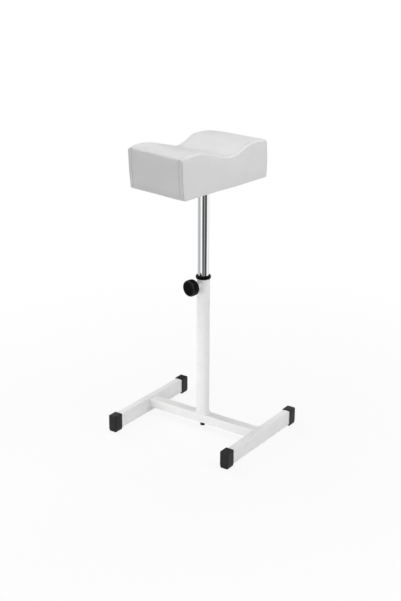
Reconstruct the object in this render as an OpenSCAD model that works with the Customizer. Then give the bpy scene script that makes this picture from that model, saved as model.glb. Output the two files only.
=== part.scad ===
// Footrest stool: a padded saddle seat on a telescopic post with an H-shaped tube base.
// Millimetres. The origin is on the floor under the post and +Z is up. The crossbar runs
// along X, the floor runners run along Y and the clamp knob faces -Y.

/* [Base frame] */
// Distance between the centre lines of the two floor runners
base_w = 360; // [300:2:460]
// Length of the base over its end caps
base_l = 332; // [280:2:420]
// Width of a runner tube
runner_w = 20; // [18:1:28]
// Height of a runner tube
runner_h = 40; // [36:1:52]
// Wall of the runner and crossbar tubes
frame_wall = 1.5; // [1.2:0.1:2]
// Outside corner radius of the runner and crossbar tubes
frame_corner = 2.5; // [2.2:0.1:4]
// Width of the crossbar tube
crossbar_w = 28; // [26:1:36]
// Height of the crossbar tube
crossbar_h = 25; // [20:1:28]
// How far the crossbar lies below the top of the runners
crossbar_drop = 0.5; // [0.5:0.1:2]
// Leg of the weld beads round the crossbar's ends
frame_weld = 2.5; // [1.5:0.1:4]

/* [End caps] */
// Length of an end cap along the runner
cap_l = 28; // [22:1:38]
// Side and top wall of an end cap
cap_wall = 2.3; // [1.8:0.1:3.2]
// Thickness of the sole that a cap stands on
cap_sole = 4; // [3:0.1:7]
// Thickness of a cap's end wall
cap_end = 4; // [3:0.1:7]
// Rounding of a cap's outer edges
cap_round = 3; // [1.5:0.1:4]
// How far the sole is chamfered inwards
cap_toe = 2; // [1:0.1:3]
// Height of the sole's chamfer
cap_toe_h = 7; // [4:0.5:12]
// Clearance between a cap and its tube
cap_fit = 0.15; // [0.1:0.05:0.3]

/* [Post] */
// Outside diameter of the post tube
post_od = 35; // [32:1:42]
// Wall of the post tube
post_wall = 1.5; // [1.2:0.1:2]
// Height of the post tube's top above the floor
post_top = 428; // [410:2:460]
// Diameter of the foot flange under the post
foot_od = 38.6; // [38:0.2:48]
// Thickness of the foot flange
foot_t = 3; // [2:0.5:6]
// Length of the foot plug inside the post
plug_l = 16; // [14:1:24]
// Clearance of plugs and sleeves that sit fixed in a tube
seat_fit = 0.05; // [0.03:0.01:0.1]

/* [Post bolt] */
// Thread diameter of the post bolt
bolt_d = 8; // [6:1:10]
// Length of the post bolt under its head
bolt_l = 45; // [43:1:46]
// Diameter of the post bolt's head
bolt_head_d = 13; // [12:0.5:16]
// Height of the post bolt's head
bolt_head_h = 8; // [6:0.5:9]
// Width across flats of the post bolt's socket
bolt_socket = 6; // [4:0.5:8]
// Diameter of the post bolt's washer
washer_od = 17; // [16.5:0.5:22]
// Thickness of the post bolt's washer
washer_t = 1.6; // [1:0.1:2.4]
// Diameter of the post bolt's spring washer
spring_od = 14.8; // [13:0.2:16]
// Thickness of the post bolt's spring washer
spring_t = 2.1; // [1.5:0.1:2.5]
// Width of the gap in the spring washer
spring_gap = 1.2; // [0.6:0.1:2]
// Clearance of a bolt in the plain hole that it passes through
bolt_clear = 0.5; // [0.3:0.1:0.9]
// Clearance between a screw and the thread that holds it
thread_fit = 0.05; // [0.03:0.01:0.1]

/* [Collar] */
// Diameter of the plastic collar on the post
collar_od = 40; // [39:0.5:50]
// Height of the collar above the post
collar_h = 9; // [7:0.5:16]
// Edge rounding of the collar
collar_round = 2.6; // [1:0.1:3]
// Thickness of the collar's sleeve between the tubes
collar_wall = 0.9; // [0.8:0.05:1.4]
// Length of the collar's sleeve inside the post
collar_sleeve = 30; // [26:1:40]
// Running clearance of the sliding tube
slide_fit = 0.05; // [0.03:0.01:0.1]

/* [Sliding tube] */
// Wall of the sliding tube
slide_wall = 1.5; // [1.2:0.1:2]
// Depth of the sliding tube's lower end below the top of the post
slide_depth = 119; // [105:1:125]
// Length of the guide bush below the sliding tube
guide_l = 12; // [8:1:14]
// Length of the guide bush inside the sliding tube
guide_spigot = 25; // [15:1:40]
// Diameter of the air hole through the guide bush
guide_bore = 16; // [8:1:20]
// Gap between the guide bush and the sliding tube's end
guide_gap = 0.3; // [0.2:0.05:0.4]

/* [Clamp] */
// Depth of the clamp screw's axis below the top of the post
clamp_drop = 16; // [14:0.5:18]
// Turn of the clamp about the post, from -Y towards +X, in degrees
clamp_turn = -9; // [-45:1:45]
// Thread diameter of the clamp screw
screw_d = 8; // [7.5:0.5:9]
// Diameter of the threaded boss on the post
boss_d = 16; // [14:0.5:18]
// Length of the boss beyond the post's surface
boss_l = 10; // [8:0.5:11]
// Leg of the weld bead round the boss
boss_weld = 2; // [1:0.1:3]
// Distance from the post's axis to the back of the knob's hub
hub_back = 30; // [29:0.5:33]
// Diameter of the knob's hub
hub_d = 20; // [16:1:24]
// Length of the knob's hub
hub_l = 9; // [6:0.5:12]
// Largest diameter of the knob
knob_d = 44; // [43:0.5:48]
// Diameter of the knob at its back edge
knob_back_d = 43; // [38:0.5:44]
// Length of the knob in front of its hub
knob_l = 16; // [15:0.5:22]
// Rounding of the knob's front edge
knob_round = 3; // [1.5:0.1:5]
// Number of finger flutes round the knob
knob_flutes = 20; // [12:1:28]
// Radius of a finger flute
flute_r = 2.2; // [1.5:0.1:2.6]
// Depth of a finger flute
flute_cut = 0.7; // [0.4:0.1:1]
// Thickness of knob in front of the screw
knob_face_t = 6; // [4:0.5:9]
// Diameter of the pad on the screw's tip
pad_d = 6.4; // [5:0.1:6.8]
// Length of the pad
pad_l = 5; // [4:0.1:6]
// Thickness of the pad's pressing face
pad_face = 1.3; // [1:0.1:1.8]
// Diameter of the screw's dog point inside the pad
dog_d = 3; // [2:0.1:4]
// Gap between the pad and the sliding tube
pad_gap = 0.3; // [0.2:0.05:0.4]

/* [Seat] */
// Width of the cushion across the saddle
seat_w = 182; // [150:2:220]
// Length of the cushion along the saddle
seat_l = 320; // [280:2:380]
// Height of the middle of the cushion's underside above the floor
seat_z = 685; // [660:1:720]
// Turn of the cushion about the post, in degrees
seat_yaw = -6.6; // [-20:0.2:20]
// How far the cushion sits off the post across its width
seat_shift_x = -9; // [-10:0.5:10]
// How far the cushion sits off the post along its length
seat_shift_y = -5; // [-12:0.5:12]
// Height of the cushion at its front end
front_h = 99.5; // [88:0.5:115]
// Height of the low front hump
low_hump_h = 104; // [90:1:120]
// Height of the hollow of the saddle
hollow_h = 76; // [66:0.5:88]
// Height of the high rear hump
high_hump_h = 97.5; // [88:0.5:125]
// Height of the cushion at its rear end
rear_h = 94; // [82:1:115]
// Rounding of the cushion's top end edges
top_round = 11; // [7:0.5:16]
// Rounding of the cushion's bottom end edges
bottom_round = 4; // [3:0.5:6]
// How far the seams are drawn in from the crown
seam_draw = 2; // [1:0.1:3]
// How far the end faces bulge between their edges
end_bulge = 1.6; // [0.5:0.1:3]
// Thickness of the cover
cover_t = 1.2; // [0.8:0.1:1.6]
// Width of the cover's hem under the ends of the board
cover_margin = 30; // [24:1:60]
// Gap between the foam and its cover
foam_gap = 0.3; // [0.2:0.05:0.5]

/* [Seat board and mounting] */
// Thickness of the plywood board
board_t = 12; // [12:1:18]
// Corner radius of the board
board_corner = 6; // [3:0.5:12]
// Thickness of the dust cover
dust_t = 0.8; // [0.5:0.1:1]
// Overlap of the dust cover on the cover's hem
dust_lap = 12; // [8:1:18]
// Room between the mounting plate and the dust cover's rim
plate_room = 5; // [2:0.5:8]
// Side of the square mounting plate
plate_w = 84; // [76:1:88]
// Thickness of the mounting plate
plate_t = 4; // [3:0.5:4]
// Corner radius of the mounting plate
plate_corner = 8; // [4:0.5:10]
// Distance between the mounting bolts
plate_pitch = 62; // [56:1:64]
// Leg of the weld bead under the plate
plate_weld = 3; // [1.5:0.1:4]
// Thread diameter of the plate bolts
plate_bolt_d = 6; // [5:0.5:6.5]
// Length of the plate bolts under their heads
plate_bolt_l = 16; // [14:0.5:16]
// Width across flats of the plate bolts' heads
plate_head_af = 10; // [9:0.5:11]
// Height of the plate bolts' heads
plate_head_h = 4; // [3:0.5:5]
// Diameter of the plate bolts' washers
plate_washer_od = 12; // [11:0.5:14]
// Thickness of the plate bolts' washers
plate_washer_t = 1.6; // [1:0.1:2]
// Diameter of a tee nut's flange
tee_flange_d = 19; // [16:0.5:22]
// Thickness of a tee nut's flange
tee_flange_t = 1.2; // [1:0.1:1.6]
// Diameter of a tee nut's barrel
tee_barrel_d = 7.8; // [7.6:0.1:9]
// Length of a tee nut's barrel below its flange
tee_barrel_l = 8; // [6:0.5:9]
// Width of a staple
staple_w = 10; // [8:0.5:13]
// Thickness of a staple's wire
staple_t = 0.7; // [0.5:0.1:1]
// Depth of a staple's legs
staple_leg = 8; // [6:0.5:10]
// Staples along a long side of the board
staples_long = 6; // [4:1:9]
// Staples along a short side of the board
staples_short = 4; // [2:1:5]

/* [Hidden] */
$fn = 64;

// One overrun that all cuts share
cut = 1;

// A square corner clears a rounded one when it stands back by this share of the radius
corner_share = 0.3;

// Frame heights
runner_l = base_l - 2 * cap_end;
runner_z = cap_sole + runner_h / 2;
runner_top = cap_sole + runner_h;
crossbar_top = runner_top - crossbar_drop;
crossbar_bottom = crossbar_top - crossbar_h;
crossbar_l = base_w - runner_w;

// End cap, outside size
cap_w = runner_w + 2 * (cap_fit + cap_wall);
cap_h = cap_sole + runner_h + cap_fit + cap_wall;

// Post and sliding tube, where each tube's bore sets what runs in it
post_r = post_od / 2;
post_bore_r = post_r - post_wall;
post_bottom = crossbar_top + foot_t;
foot_weld = (foot_od - post_od) / 2;
slide_r = post_bore_r - seat_fit - collar_wall - slide_fit;
slide_bore_r = slide_r - slide_wall;
slide_bottom = post_top - slide_depth;
guide_bottom = slide_bottom - guide_gap - guide_l;

// Post bolt, from its washer under the crossbar up into the foot plug
bolt_seat = crossbar_bottom - washer_t - spring_t;
socket_depth = bolt_head_h / 2;

// Clamp, as distances from the post's axis along the screw
clamp_z = post_top - clamp_drop;
pad_tip = slide_r + pad_gap;
pad_back = pad_tip + pad_l;
screw_shoulder = pad_back + thread_fit;
boss_end = post_r + boss_l;
knob_back = hub_back + hub_l;
knob_front = knob_back + knob_l;
screw_end = knob_front - knob_face_t;
screw_hole_r = screw_d / 2 + bolt_clear;

// Seat, in its own turned frame whose zero is the underside of the cushion
board_z = cover_t;
board_top = board_z + board_t;
plate_top = board_z - dust_t;
plate_z = plate_top - plate_t;
slide_top = seat_z + plate_z;
plate_hole_r = plate_bolt_d / 2 + bolt_clear;
board_w = seat_w - 2 * (seam_draw + cover_t + foam_gap);
board_l = seat_l - 2 * (end_bulge + seam_draw + bottom_round * corner_share + cover_t + foam_gap);

// The opening in the cover's hem, which the dust cover's pan and the plate sit in
pan_w = plate_w + 2 * (abs(seat_shift_x) + plate_room + dust_t);
hem_w = pan_w + 2 * foam_gap;
hem_l = board_l - 2 * cover_margin;
pan_l = hem_l - 2 * foam_gap;

tee_hole_r = tee_barrel_d / 2 + thread_fit;
tee_recess_r = tee_flange_d / 2 + bolt_clear;

// Places along the saddle, as shares of half its length
low_hump_share = -0.7;
hollow_share = 0.125;
high_hump_share = 0.655;

// Rings across the cushion from seam to seam, as shares of half its width
ring_shares = [-1, -0.96, -0.84, -0.5, 0, 0.5, 0.84, 0.96, 1];
// Rings on a side panel from its seam to its middle, as shares of its outline
panel_shares = [0.93, 0.55];
// Steps along the cushion's outline
top_steps = 24;
face_steps = 3;
corner_steps = 3;
bottom_steps = 3;

// Eased rise from 0 to 1 as t goes from 0 to 1
function ease(t) = (1 - cos(180 * t)) / 2;

// Height of the saddle at y, on half a length of b
function saddle(y, b) =
    let (y1 = low_hump_share * b, y2 = hollow_share * b, y3 = high_hump_share * b)
    y < y1 ? low_hump_h + (front_h - low_hump_h) * pow((y1 - y) / (y1 + b), 2)
    : y < y2 ? low_hump_h + (hollow_h - low_hump_h) * ease((y - y1) / (y2 - y1))
    : y < y3 ? hollow_h + (high_hump_h - hollow_h) * ease((y - y2) / (y3 - y2))
    : high_hump_h + (rear_h - high_hump_h) * pow((y - y3) / (b - y3), 2);

// Points on an arc about c of radius r, from angle a0 to a1, without its last point
function arc(c, r, a0, a1, n) =
    [for (i = [0:n - 1]) let (a = a0 + (a1 - a0) * i / n) [c[0] + r * cos(a), c[1] + r * sin(a)]];

// Outline of the cushion in Y and Z, drawn in by pull and shrunk by inset
function outline(pull, inset) =
    let (
        half = seat_l / 2,
        b = half - inset - pull,
        e = b - end_bulge,
        rt = top_round - inset,
        rb = bottom_round - inset,
        z0 = inset,
        yt = e - rt,
        shift = -inset - pull,
        zr = saddle(yt, half) + shift - rt,
        zf = saddle(-yt, half) + shift - rt
    )
    concat(
        [for (i = [0:bottom_steps - 1]) [-(e - rb) + 2 * (e - rb) * i / bottom_steps, z0]],
        arc([e - rb, z0 + rb], rb, -90, 0, corner_steps),
        [for (i = [0:face_steps]) let (t = i / (face_steps + 1))
            [e + end_bulge * sin(180 * t), z0 + rb + (zr - z0 - rb) * t]],
        arc([yt, zr], rt, 0, 90, corner_steps),
        [for (i = [0:top_steps - 1]) let (y = yt - 2 * yt * i / top_steps) [y, saddle(y, half) + shift]],
        arc([-yt, zf], rt, 90, 180, corner_steps),
        [for (i = [0:face_steps]) let (t = 1 - i / (face_steps + 1))
            [-e - end_bulge * sin(180 * t), z0 + rb + (zf - z0 - rb) * t]],
        arc([-(e - rb), z0 + rb], rb, 180, 270, corner_steps)
    );

// The whole cushion as a closed form of rings, shrunk all round by inset
module cushion_form(inset) {
    a = seat_w / 2 - inset;
    mid = hollow_h / 2;
    strip = [for (s = ring_shares) let (x = s * (a - seam_draw))
        [for (p = outline(seam_draw * pow(s, 4), inset)) [x, p[0], p[1]]]];
    edge = outline(seam_draw, inset);
    panel = [for (s = panel_shares)
        [for (p = edge) [a - seam_draw * pow(s, 4), p[0] * s, mid + (p[1] - mid) * s]]];
    mirrored = [for (i = [len(panel) - 1:-1:0]) [for (p = panel[i]) [-p[0], p[1], p[2]]]];
    rings = concat(mirrored, strip, panel);
    n = len(edge);
    m = len(rings);
    points = concat([[-a, 0, mid]], [for (r = rings) for (p = r) p], [[a, 0, mid]]);
    last = len(points) - 1;
    walls = [for (j = [0:m - 2]) for (i = [0:n - 1])
        let (k = (i + 1) % n, p = 1 + j * n + i, q = 1 + j * n + k)
        each [[p, q + n, q], [p, p + n, q + n]]];
    ends = [for (i = [0:n - 1]) let (k = (i + 1) % n)
        each [[0, 1 + i, 1 + k], [last, last - n + k, last - n + i]]];
    polyhedron(points = points, faces = concat(walls, ends));
}

// A rectangle with round corners, centred
module rounded_rect(w, h, r) {
    square([w - 2 * r, h], center = true);
    square([w, h - 2 * r], center = true);
    for (x = [-1, 1])
        for (y = [-1, 1])
            translate([x * (w / 2 - r), y * (h / 2 - r)])
                circle(r = r);
}

// A rectangular bar with round corners along Z, centred
module rounded_bar(w, h, r, l) {
    linear_extrude(height = l, center = true)
        rounded_rect(w, h, r);
}

// The section of a frame tube
module frame_section(w, h) {
    difference() {
        rounded_rect(w, h, frame_corner);
        rounded_rect(w - 2 * frame_wall, h - 2 * frame_wall, frame_corner - frame_wall);
    }
}

// A ring about Z between two radii and two heights
module ring(r_in, r_out, z_low, z_high) {
    translate([0, 0, z_low])
        linear_extrude(height = z_high - z_low)
            difference() {
                circle(r = r_out);
                circle(r = r_in);
            }
}

// A disc about Z between two heights
module rod(r, z_low, z_high) {
    translate([0, 0, z_low])
        cylinder(h = z_high - z_low, r = r);
}

// Points Z away from the post, along the clamp screw
module clamp_frame() {
    translate([0, 0, clamp_z])
        rotate([0, 0, clamp_turn])
            rotate([90, 0, 0])
                children();
}

// The turned frame of the mounting plate and its bolts
module seat_frame() {
    translate([0, 0, seat_z])
        rotate([0, 0, seat_yaw])
            children();
}

// The middle of the cushion, which sits a little off the post
module cushion_place() {
    translate([seat_shift_x, seat_shift_y, 0])
        children();
}

// The four places of the mounting bolts
module at_plate_bolts() {
    for (x = [-1, 1])
        for (y = [-1, 1])
            translate([x * plate_pitch / 2, y * plate_pitch / 2, 0])
                children();
}

module runner(side) {
    color("whitesmoke")
        translate([side * base_w / 2, 0, runner_z])
            rotate([90, 0, 0])
                linear_extrude(height = runner_l, center = true)
                    frame_section(runner_w, runner_h);
}

module left_runner() {
    runner(-1);
}

module right_runner() {
    runner(1);
}

module crossbar() {
    color("whitesmoke")
        difference() {
            translate([0, 0, crossbar_top - crossbar_h / 2])
                rotate([90, 0, 90])
                    linear_extrude(height = crossbar_l, center = true)
                        frame_section(crossbar_w, crossbar_h);
            rod(bolt_d / 2 + bolt_clear, crossbar_bottom - cut, crossbar_top + cut);
        }
}

// Outline of a crossbar bead along the bar, on half a bar of reach at its two sides
module bead_outline(low, high, low_leg, high_leg) {
    face = crossbar_l / 2;
    polygon([
        [face - frame_weld, low], [face, low - low_leg], [face + frame_corner, low - low_leg],
        [face + frame_corner, high + high_leg], [face, high + high_leg], [face - frame_weld, high],
    ]);
}

module crossbar_weld() {
    difference() {
        intersection() {
            rotate([90, 0, 0])
                linear_extrude(height = crossbar_w + 2 * frame_weld, center = true)
                    bead_outline(crossbar_bottom, crossbar_top, frame_weld, crossbar_drop);
            linear_extrude(height = runner_top + cut)
                bead_outline(-crossbar_w / 2, crossbar_w / 2, frame_weld, frame_weld);
        }
        translate([0, 0, crossbar_top - crossbar_h / 2])
            rotate([90, 0, 90])
                rounded_bar(crossbar_w, crossbar_h, frame_corner, crossbar_l);
        translate([base_w / 2, 0, runner_z])
            rotate([90, 0, 0])
                rounded_bar(runner_w, runner_h, frame_corner, runner_l);
    }
}

module crossbar_welds() {
    color("whitesmoke")
        for (turn = [0, 180])
            rotate([0, 0, turn])
                crossbar_weld();
}

// A cap's outline from the front, chamfered along the floor and rounded along the top
module cap_front() {
    intersection() {
        union() {
            translate([0, cap_h / 2])
                rounded_rect(cap_w, cap_h, cap_round);
            translate([-cap_w / 2, 0])
                square([cap_w, cap_h / 2]);
        }
        polygon([
            [cap_toe - cap_w / 2, 0], [cap_w / 2 - cap_toe, 0], [cap_w / 2, cap_toe_h],
            [cap_w / 2, cap_h], [-cap_w / 2, cap_h], [-cap_w / 2, cap_toe_h],
        ]);
    }
}

// A cap's outline from the side, with its mouth at zero
module cap_side() {
    polygon([
        [0, 0], [cap_l - cap_toe, 0], [cap_l, cap_toe_h],
        [cap_l, cap_h - cap_round], [cap_l - cap_round, cap_h - cap_round],
        [cap_l - cap_round, cap_h], [0, cap_h],
    ]);
    translate([cap_l - cap_round, cap_h - cap_round])
        circle(r = cap_round);
}

// A cap's outline from above, with its mouth at zero
module cap_plan() {
    translate([-cap_w / 2, 0])
        square([cap_w, cap_l - cap_round]);
    translate([0, cap_l / 2])
        rounded_rect(cap_w, cap_l, cap_round);
}

module end_cap(side, turn) {
    color("dimgray")
        translate([side * base_w / 2, 0, 0])
            rotate([0, 0, turn])
                translate([0, base_l / 2 - cap_l, 0])
                    difference() {
                        intersection() {
                            translate([0, cap_l, 0])
                                rotate([90, 0, 0])
                                    linear_extrude(height = cap_l)
                                        cap_front();
                            translate([-cap_w / 2, 0, 0])
                                rotate([90, 0, 90])
                                    linear_extrude(height = cap_w)
                                        cap_side();
                            linear_extrude(height = cap_h)
                                cap_plan();
                        }
                        translate([0, (cap_l - cap_end - cut) / 2, runner_z + cap_fit / 2])
                            rotate([90, 0, 0])
                                rounded_bar(
                                    runner_w + 2 * cap_fit, runner_h + cap_fit,
                                    frame_corner, cap_l - cap_end + cut
                                );
                    }
}

module front_left_cap() {
    end_cap(-1, 180);
}

module front_right_cap() {
    end_cap(1, 180);
}

module rear_left_cap() {
    end_cap(-1, 0);
}

module rear_right_cap() {
    end_cap(1, 0);
}

module post_tube() {
    color("whitesmoke")
        difference() {
            ring(post_bore_r, post_r, post_bottom, post_top);
            clamp_frame()
                rod(screw_hole_r, 0, post_od);
        }
}

module post_foot_plug() {
    color("silver")
        difference() {
            union() {
                rod(foot_od / 2, crossbar_top, post_bottom);
                rod(post_bore_r - seat_fit, crossbar_top, post_bottom + plug_l);
            }
            rod(bolt_d / 2 + thread_fit, crossbar_top - cut, post_bottom + plug_l + cut);
        }
}

module post_foot_weld() {
    color("whitesmoke")
        rotate_extrude()
            polygon([
                [post_r, post_bottom], [post_r + foot_weld, post_bottom],
                [post_r, post_bottom + foot_weld],
            ]);
}

module post_bolt() {
    color("dimgray")
        difference() {
            union() {
                rod(bolt_head_d / 2, bolt_seat - bolt_head_h, bolt_seat);
                rod(bolt_d / 2, bolt_seat, bolt_seat + bolt_l);
            }
            translate([0, 0, bolt_seat - bolt_head_h - cut])
                cylinder(h = socket_depth + cut, d = bolt_socket / cos(30), $fn = 6);
        }
}

module post_washer() {
    color("silver")
        ring(bolt_d / 2 + thread_fit, washer_od / 2, bolt_seat + spring_t, crossbar_bottom);
}

module post_spring_washer() {
    color("silver")
        difference() {
            ring(bolt_d / 2 + thread_fit, spring_od / 2, bolt_seat, bolt_seat + spring_t);
            translate([0, -spring_gap / 2, bolt_seat - cut])
                cube([spring_od, spring_gap, spring_t + 2 * cut]);
        }
}

module post_collar() {
    color("dimgray")
        difference() {
            union() {
                translate([0, 0, post_top])
                    rotate_extrude()
                        union() {
                            square([collar_od / 2 - collar_round, collar_h]);
                            translate([0, collar_round])
                                square([collar_od / 2, collar_h - 2 * collar_round]);
                            for (z = [collar_round, collar_h - collar_round])
                                translate([collar_od / 2 - collar_round, z])
                                    circle(r = collar_round);
                        }
                rod(post_bore_r - seat_fit, post_top - collar_sleeve, post_top);
            }
            rod(slide_r + slide_fit, post_top - collar_sleeve - cut, post_top + collar_h + cut);
            clamp_frame()
                rod(screw_hole_r, 0, post_od);
        }
}

module clamp_boss() {
    color("whitesmoke")
        difference() {
            clamp_frame()
                ring(screw_d / 2 + thread_fit, boss_d / 2, slide_r, boss_end);
            rod(post_r, clamp_z - boss_d, clamp_z + boss_d);
        }
}

module clamp_boss_weld() {
    color("whitesmoke")
        difference() {
            clamp_frame()
                rotate_extrude()
                    polygon([
                        [0, slide_r], [boss_d / 2 + boss_weld, slide_r],
                        [boss_d / 2 + boss_weld, post_bore_r], [boss_d / 2, post_r + boss_weld],
                        [0, post_r + boss_weld],
                    ]);
            clamp_frame()
                rod(boss_d / 2, 0, boss_end);
            rod(post_r, clamp_z - 2 * boss_d, clamp_z + 2 * boss_d);
        }
}

module clamp_pad() {
    color("white")
        clamp_frame()
            difference() {
                rod(pad_d / 2, pad_tip, pad_back);
                rod(dog_d / 2 + thread_fit, pad_tip + pad_face, pad_back + cut);
            }
}

module clamp_screw() {
    color("silver")
        clamp_frame() {
            rod(dog_d / 2, pad_tip + pad_face + thread_fit, screw_shoulder);
            rod(screw_d / 2, screw_shoulder, screw_end);
        }
}

module clamp_knob() {
    rf = knob_d / 2;
    rb = knob_back_d / 2;
    color("dimgray")
        clamp_frame()
            difference() {
                rotate_extrude()
                    union() {
                        polygon([
                            [0, hub_back], [hub_d / 2, hub_back], [hub_d / 2, knob_back],
                            [rb - knob_round / 2, knob_back], [rb, knob_back + knob_round / 2],
                            [rf, knob_front - knob_round], [rf - knob_round, knob_front - knob_round],
                            [rf - knob_round, knob_front], [0, knob_front],
                        ]);
                        translate([rf - knob_round, knob_front - knob_round])
                            circle(r = knob_round);
                    }
                rod(screw_d / 2 + thread_fit, hub_back - cut, screw_end);
                for (i = [0:knob_flutes - 1])
                    rotate([0, 0, 360 * i / knob_flutes])
                        translate([rf + flute_r - flute_cut, 0, knob_back - cut])
                            cylinder(h = knob_l - knob_round + cut, r = flute_r);
            }
}

module slide_guide() {
    color("dimgray")
        difference() {
            union() {
                rod(post_bore_r - slide_fit, guide_bottom, guide_bottom + guide_l);
                rod(slide_bore_r - slide_fit, guide_bottom, slide_bottom + guide_spigot);
            }
            rod(guide_bore / 2, guide_bottom - cut, slide_bottom + guide_spigot + cut);
        }
}

module slide_tube() {
    color("lightgray")
        ring(slide_bore_r, slide_r, slide_bottom, slide_top);
}

module seat_plate() {
    color("silver")
        seat_frame()
            difference() {
                translate([0, 0, plate_z + plate_t / 2])
                    rounded_bar(plate_w, plate_w, plate_corner, plate_t);
                at_plate_bolts()
                    rod(plate_hole_r, plate_z - cut, plate_top + cut);
            }
}

module seat_plate_weld() {
    color("silver")
        rotate_extrude()
            polygon([
                [slide_r, slide_top], [slide_r + plate_weld, slide_top],
                [slide_r, slide_top - plate_weld],
            ]);
}

module plate_bolts() {
    color("silver")
        seat_frame()
            at_plate_bolts() {
                translate([0, 0, plate_z - plate_washer_t - plate_head_h])
                    cylinder(h = plate_head_h, d = plate_head_af / cos(30), $fn = 6);
                rod(plate_bolt_d / 2, plate_z - plate_washer_t, plate_z - plate_washer_t + plate_bolt_l);
            }
}

module plate_washers() {
    color("silver")
        seat_frame()
            at_plate_bolts()
                ring(plate_bolt_d / 2 + thread_fit, plate_washer_od / 2, plate_z - plate_washer_t, plate_z);
}

module tee_nuts() {
    flange_z = board_top - tee_flange_t;
    color("gold")
        seat_frame()
            at_plate_bolts() {
                ring(plate_bolt_d / 2 + thread_fit, tee_flange_d / 2, flange_z, board_top);
                ring(plate_bolt_d / 2 + thread_fit, tee_barrel_d / 2, flange_z - tee_barrel_l, flange_z);
            }
}

module seat_board() {
    color("burlywood")
        seat_frame()
            difference() {
                cushion_place()
                    translate([0, 0, board_z + board_t / 2])
                        rounded_bar(board_w, board_l, board_corner, board_t);
                at_plate_bolts() {
                    rod(tee_hole_r, board_z - cut, board_top + cut);
                    rod(tee_recess_r, board_top - tee_flange_t, board_top + cut);
                }
            }
}

module seat_foam() {
    color("khaki")
        seat_frame()
            cushion_place()
                difference() {
                    cushion_form(cover_t + foam_gap);
                    translate([0, 0, board_top - seat_l / 2])
                        cube(seat_l, center = true);
                }
}

module seat_cover() {
    color("white")
        seat_frame()
            cushion_place()
                difference() {
                    cushion_form(0);
                    cushion_form(cover_t);
                    rounded_bar(hem_w, hem_l, board_corner, 2 * board_z + cut);
                }
}

module seat_dust_cover() {
    color("dimgray")
        seat_frame()
            difference() {
                cushion_place()
                    difference() {
                        union() {
                            translate([0, 0, (board_z - dust_t) / 2])
                                rounded_bar(pan_w, pan_l, board_corner, board_z + dust_t);
                            translate([0, 0, -dust_t / 2])
                                rounded_bar(
                                    pan_w + 2 * dust_lap, pan_l + 2 * dust_lap, board_corner, dust_t
                                );
                        }
                        translate([0, 0, plate_top - plate_w / 2])
                            rounded_bar(
                                pan_w - 2 * dust_t, pan_l - 2 * dust_t, board_corner - dust_t, plate_w
                            );
                    }
                at_plate_bolts()
                    rod(plate_hole_r, plate_top - cut, board_z + cut);
            }
}

// One staple along X under the dust cover, its legs up in the board
module staple() {
    translate([0, 0, -dust_t - staple_t / 2])
        cube([staple_w, staple_t, staple_t], center = true);
    for (x = [-1, 1])
        translate([x * (staple_w - staple_t) / 2, 0, (staple_leg - staple_t) / 2 - dust_t])
            cube([staple_t, staple_t, staple_leg + staple_t], center = true);
}

module seat_staples() {
    across = (hem_w + dust_lap) / 2;
    along = (hem_l + dust_lap) / 2;
    color("silver")
        seat_frame()
            cushion_place()
                for (side = [-1, 1]) {
                    for (i = [0:staples_long - 1])
                        translate([side * across, (2 * i / (staples_long - 1) - 1) * (along - staple_w), 0])
                            rotate([0, 0, 90])
                                staple();
                    for (i = [0:staples_short - 1])
                        translate([(2 * i / (staples_short - 1) - 1) * (across - 2 * staple_w), side * along, 0])
                            staple();
                }
}

left_runner();
right_runner();
crossbar();
crossbar_welds();
front_left_cap();
front_right_cap();
rear_left_cap();
rear_right_cap();
post_tube();
post_foot_plug();
post_foot_weld();
post_bolt();
post_washer();
post_spring_washer();
post_collar();
clamp_boss();
clamp_boss_weld();
clamp_pad();
clamp_screw();
clamp_knob();
slide_guide();
slide_tube();
seat_plate();
seat_plate_weld();
plate_bolts();
plate_washers();
tee_nuts();
seat_board();
seat_foam();
seat_cover();
seat_dust_cover();
seat_staples();
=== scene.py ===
# %% [markdown]
# # A pedicure footrest, dressed for its portrait
#
# The stool has a padded saddle on a chromed tube, which slides in a white post on an
# H-shaped base. Its metalwork is already exact, so most of it only needs finishes here.
# What a CAD solid can't show is made new: the upholstery, its seams and stitches, the
# rippled weld beads, and the soft edges of the moulded plastic. Lengths are in metres,
# +Z is up, the post stands on the origin and the clamp knob faces -Y.

# %% Load the frame
import math

import bpy
import numpy as np
from mathutils import Matrix, Vector


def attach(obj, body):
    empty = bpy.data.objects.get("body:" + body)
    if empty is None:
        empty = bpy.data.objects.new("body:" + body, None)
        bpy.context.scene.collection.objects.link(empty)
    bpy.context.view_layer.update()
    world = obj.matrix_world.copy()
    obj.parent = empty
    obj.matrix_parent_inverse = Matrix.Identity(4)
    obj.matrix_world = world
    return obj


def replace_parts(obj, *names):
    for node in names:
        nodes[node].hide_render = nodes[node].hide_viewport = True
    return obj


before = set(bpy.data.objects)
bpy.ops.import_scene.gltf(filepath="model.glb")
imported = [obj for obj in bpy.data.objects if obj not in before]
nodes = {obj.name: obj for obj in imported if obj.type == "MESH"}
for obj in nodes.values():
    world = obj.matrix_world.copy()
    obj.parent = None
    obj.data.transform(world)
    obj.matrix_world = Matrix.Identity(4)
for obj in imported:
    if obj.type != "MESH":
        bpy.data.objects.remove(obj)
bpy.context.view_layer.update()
MM = 0.001

# %% [markdown]
# ## The camera
#
# A product photograph is usually taken from further away than it looks, with a long
# lens, so that uprights stay nearly parallel. The pose below was worked out from the
# photograph: the view comes from 35 degrees to the right of the knob's side and 20
# degrees up, and the lens is given by its focal length in pixels of a 401 by 601 frame.
# The real camera leant by a quarter of a degree. A matrix built from the three view
# directions places the camera in one step.

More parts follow.
